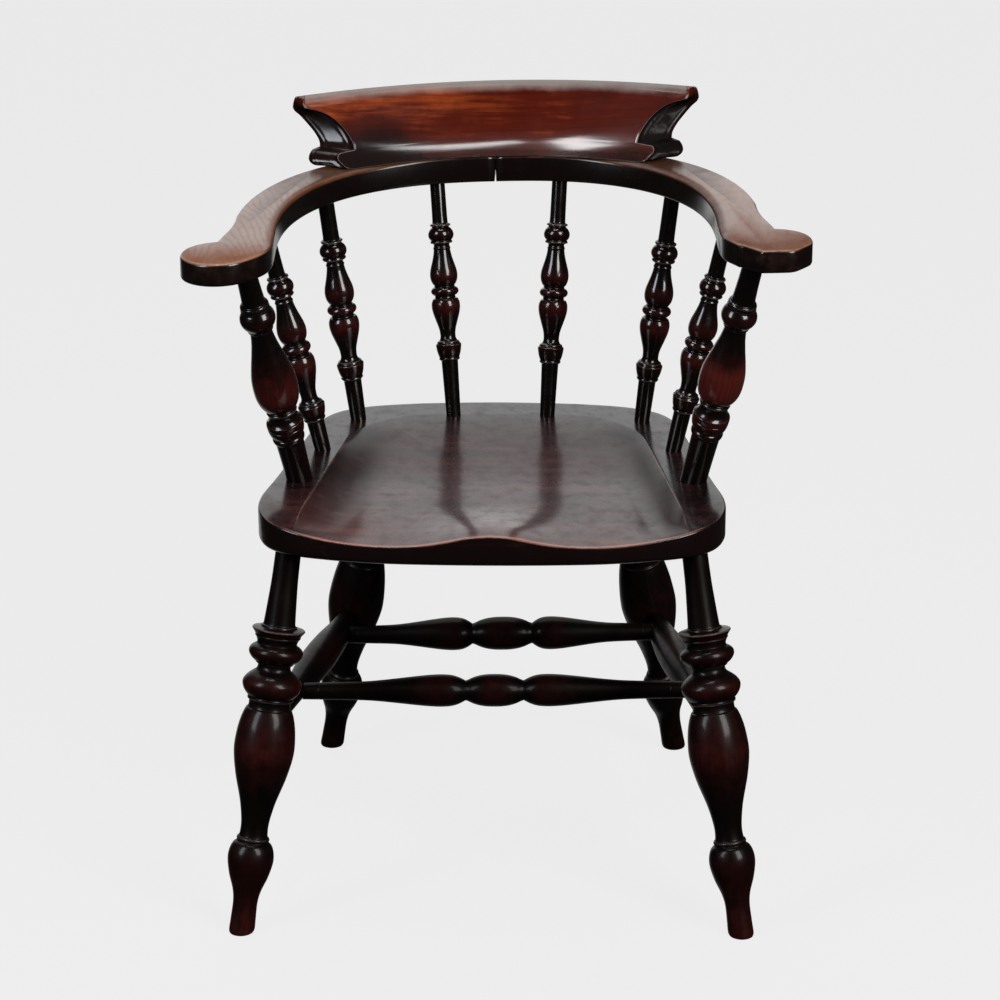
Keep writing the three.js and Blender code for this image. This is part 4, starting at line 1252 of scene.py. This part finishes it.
def buildCrest():
    rows = smoothLine(crest["scroll"], crest["scrollSteps"])[:-1]
    rows += [tuple(lerp(a, b, k / crest["stepSteps"]) for a, b in zip(*crest["step"]))
             for k in range(crest["stepSteps"])]
    rows += smoothLine(crest["cove"], crest["coveSteps"])
    layers = [(row, 0, 0) for row in rows]
    last = rows[-1]
    flare, pull = crest["topFlare"]
    for way, lift in smoothLine(crest["topProfile"], crest["topSteps"])[1:]:
        row = (last[0] + flare * lift + pull * way, last[1], last[2] + pull * way, last[3])
        layers.append((row, way * crest["topSqueeze"], lift))
    pithX, pithY, pithZ = crest["pith"]
    fromY, depthShare = crest["pithDepth"]
    shell = Shell()
    loop = crestLoop()
    rings = []
    for row, squeeze, lift in layers:
        ring = []
        for loopPoint in loop:
            x, y, height = crestPoint(row, loopPoint, squeeze)
            crown = crest["crown"] * (x / crest["half"]) ** 2
            height += (crest["topHeight"] - crown - height) * lift
            marks = crestMarks(loopPoint[0], loopPoint[3], x, height / crest["height"])
            px = x + bowShift(y)
            pz = bowTop(px, y) + chair["woodGap"] + height
            grain = (px + pithX, (y - fromY) * depthShare + pithY, pz + pithZ)
            ring.append(shell.point((px, y, pz), grain, marks))
        rings.append(ring)
    shell.sleeve(rings)
    span = crest["columns"] + 1
    half = len(loop) // 2
    for ring in (rings[0], rings[-1]):
        frontRun, backRun = ring[:span], ring[half:half + span][::-1]
        shell.sleeve([frontRun, backRun], closed=False)
        shell.cap([frontRun[-1], *ring[span:half], backRun[-1]])
        shell.cap([backRun[0], *ring[half + span:], frontRun[0]])
    shell.build("carved_crest_rail", crestWood, "crest_rail")


buildCrest()
print("crest rail carved")

# Studio: pale floor, two windows in front, two small ceiling lamps for the crest's highlights and a
# bright wall behind that only the chair's reflections see
studio = {
    "floorRadius": 14,
    "floorSides": 96,
    "floorRoughness": 0.9,
    "floorGlow": 0.806,
    "floorShade": (0.035, 0.035, 0.035),
    "paleGrey": 0.815,
    "wall": 1.0,
    "upperWall": 2.3,
    # where the wall's light starts to fade and where it ends, as shares of the view
    "wallLeft": (0.42, 0.62),
    "wallRight": (0.12, 0.26),
    "wallBack": (0.18, 0.5),
    "upperReach": (0.62, 0.8),
    "room": 0.02,
    "underfoot": 0.02,
    "floorDimming": 0.55,
    "dimmingReach": (0.1, 0.35),
    "belowReach": (-0.02, 0.06),
    "belowBack": (0.0, 0.35),
    "lamps": {
        "rightWindow": {"at": (1.77, -1.9, 2.05), "size": (1.2, 2.2), "power": 105,
                        "colour": (1, 0.98, 0.95)},
        "leftWindow": {"at": (-2.05, -1.6, 2.0), "size": (0.9, 2.0), "power": 60, "colour": (0.88, 0.93, 1)},
        "ceilingMiddle": {"at": (0.06, -0.14, 2.4), "size": (0.6, 0.13), "power": 4.2, "colour": (1, 1, 1)},
        "ceilingLeft": {"at": (-0.44, -0.06, 2.4), "size": (0.36, 0.14), "power": 3.4, "colour": (1, 1, 1)},
    },
    "aim": (0, 0, 0.6),
}
floorMesh = bpy.data.meshes.new("floor")
rim = [tau * k / studio["floorSides"] for k in range(studio["floorSides"])]
rim = [(cos(a) * studio["floorRadius"], sin(a) * studio["floorRadius"], 0) for a in rim]
floorMesh.from_pydata(rim, [], [tuple(range(len(rim)))])
floor = placed("floor", floorMesh)
floorMaterial, finish = newMaterial("paleFloor")
finish.principled({
    "Base Color": studio["floorShade"], "Roughness": studio["floorRoughness"],
    "Emission Color": (studio["floorGlow"],) * 3, "Emission Strength": 1.0, "Specular IOR Level": 0.0})
floorMesh.materials.append(floorMaterial)
floor.visible_glossy = False
floor.visible_diffuse = False

world = bpy.data.worlds.new("studio")
world.use_nodes = True
bpy.context.scene.world = world
finish = Finish(world.node_tree)
direction = finish.node("ShaderNodeTexCoord", {}, {}, 0)
toSide, toBack, toUp = finish.parts(direction)
wall = finish.between(toBack, *studio["wallBack"]) * (1 - finish.between(toSide, *studio["wallRight"]))
wall = wall * (1 - finish.between(0 - toSide, *studio["wallLeft"]))
brightness = finish.between(toUp, *studio["upperReach"]) * (studio["upperWall"] - studio["wall"])
dimming = finish.between(0 - toUp, *studio["dimmingReach"]) * studio["floorDimming"]
brightness = (studio["wall"] + brightness) * (1 - dimming)
level = studio["room"] + wall * (brightness - studio["room"])
below = finish.between(0 - toUp, *studio["belowReach"])
below = below * (1 - finish.between(toBack, *studio["belowBack"]))
level = level * (1 - below) + below * studio["underfoot"]
pale = (studio["paleGrey"],) * 3
seen = finish.node("ShaderNodeBackground", {}, {"Color": pale, "Strength": 1.0})
felt = finish.node("ShaderNodeBackground", {}, {"Color": (1, 1, 1), "Strength": level})
isCamera = finish.node("ShaderNodeLightPath", {}, {}, 0)
both = finish.node("ShaderNodeMixShader", {}, {0: isCamera, 1: felt, 2: seen})
finish.node("ShaderNodeOutputWorld", {}, {"Surface": both})

for name, lamp in studio["lamps"].items():
    light = bpy.data.lights.new(name, "AREA")
    light.shape = "RECTANGLE"
    light.size, light.size_y = lamp["size"]
    light.energy = lamp["power"]
    light.color = lamp["colour"]
    holder = placed(name, light)
    holder.location = lamp["at"]
    holder.rotation_euler = (Vector(studio["aim"]) - Vector(lamp["at"])).to_track_quat("-Z", "Y").to_euler()
bpy.context.scene.view_settings.view_transform = "Standard"

# Camera, solved from the four feet on one level floor
lens = {
    "at": (0.08190, -3.53447, 1.68763),
    "down": 0.3472665,
    "turn": 0.02297437,
    "roll": -0.00355,
    "focal": 121.83,
    "sensor": 36,
}
heading = Vector((-sin(lens["turn"]), cos(lens["turn"]), 0))
rightWay = Vector((cos(lens["turn"]), sin(lens["turn"]), 0))
forward = heading * cos(lens["down"]) - Vector((0, 0, sin(lens["down"])))
upWay = heading * sin(lens["down"]) + Vector((0, 0, cos(lens["down"])))
rolledRight = rightWay * cos(lens["roll"]) + upWay * sin(lens["roll"])
rolledUp = upWay * cos(lens["roll"]) - rightWay * sin(lens["roll"])
cameraData = bpy.data.cameras.new("camera")
cameraData.lens = lens["focal"]
cameraData.sensor_width = lens["sensor"]
camera = placed("camera", cameraData)
stand = Matrix((rolledRight, rolledUp, -forward)).transposed().to_4x4()
stand.translation = lens["at"]
camera.matrix_world = stand
bpy.context.scene.camera = camera
print("studio and camera set")
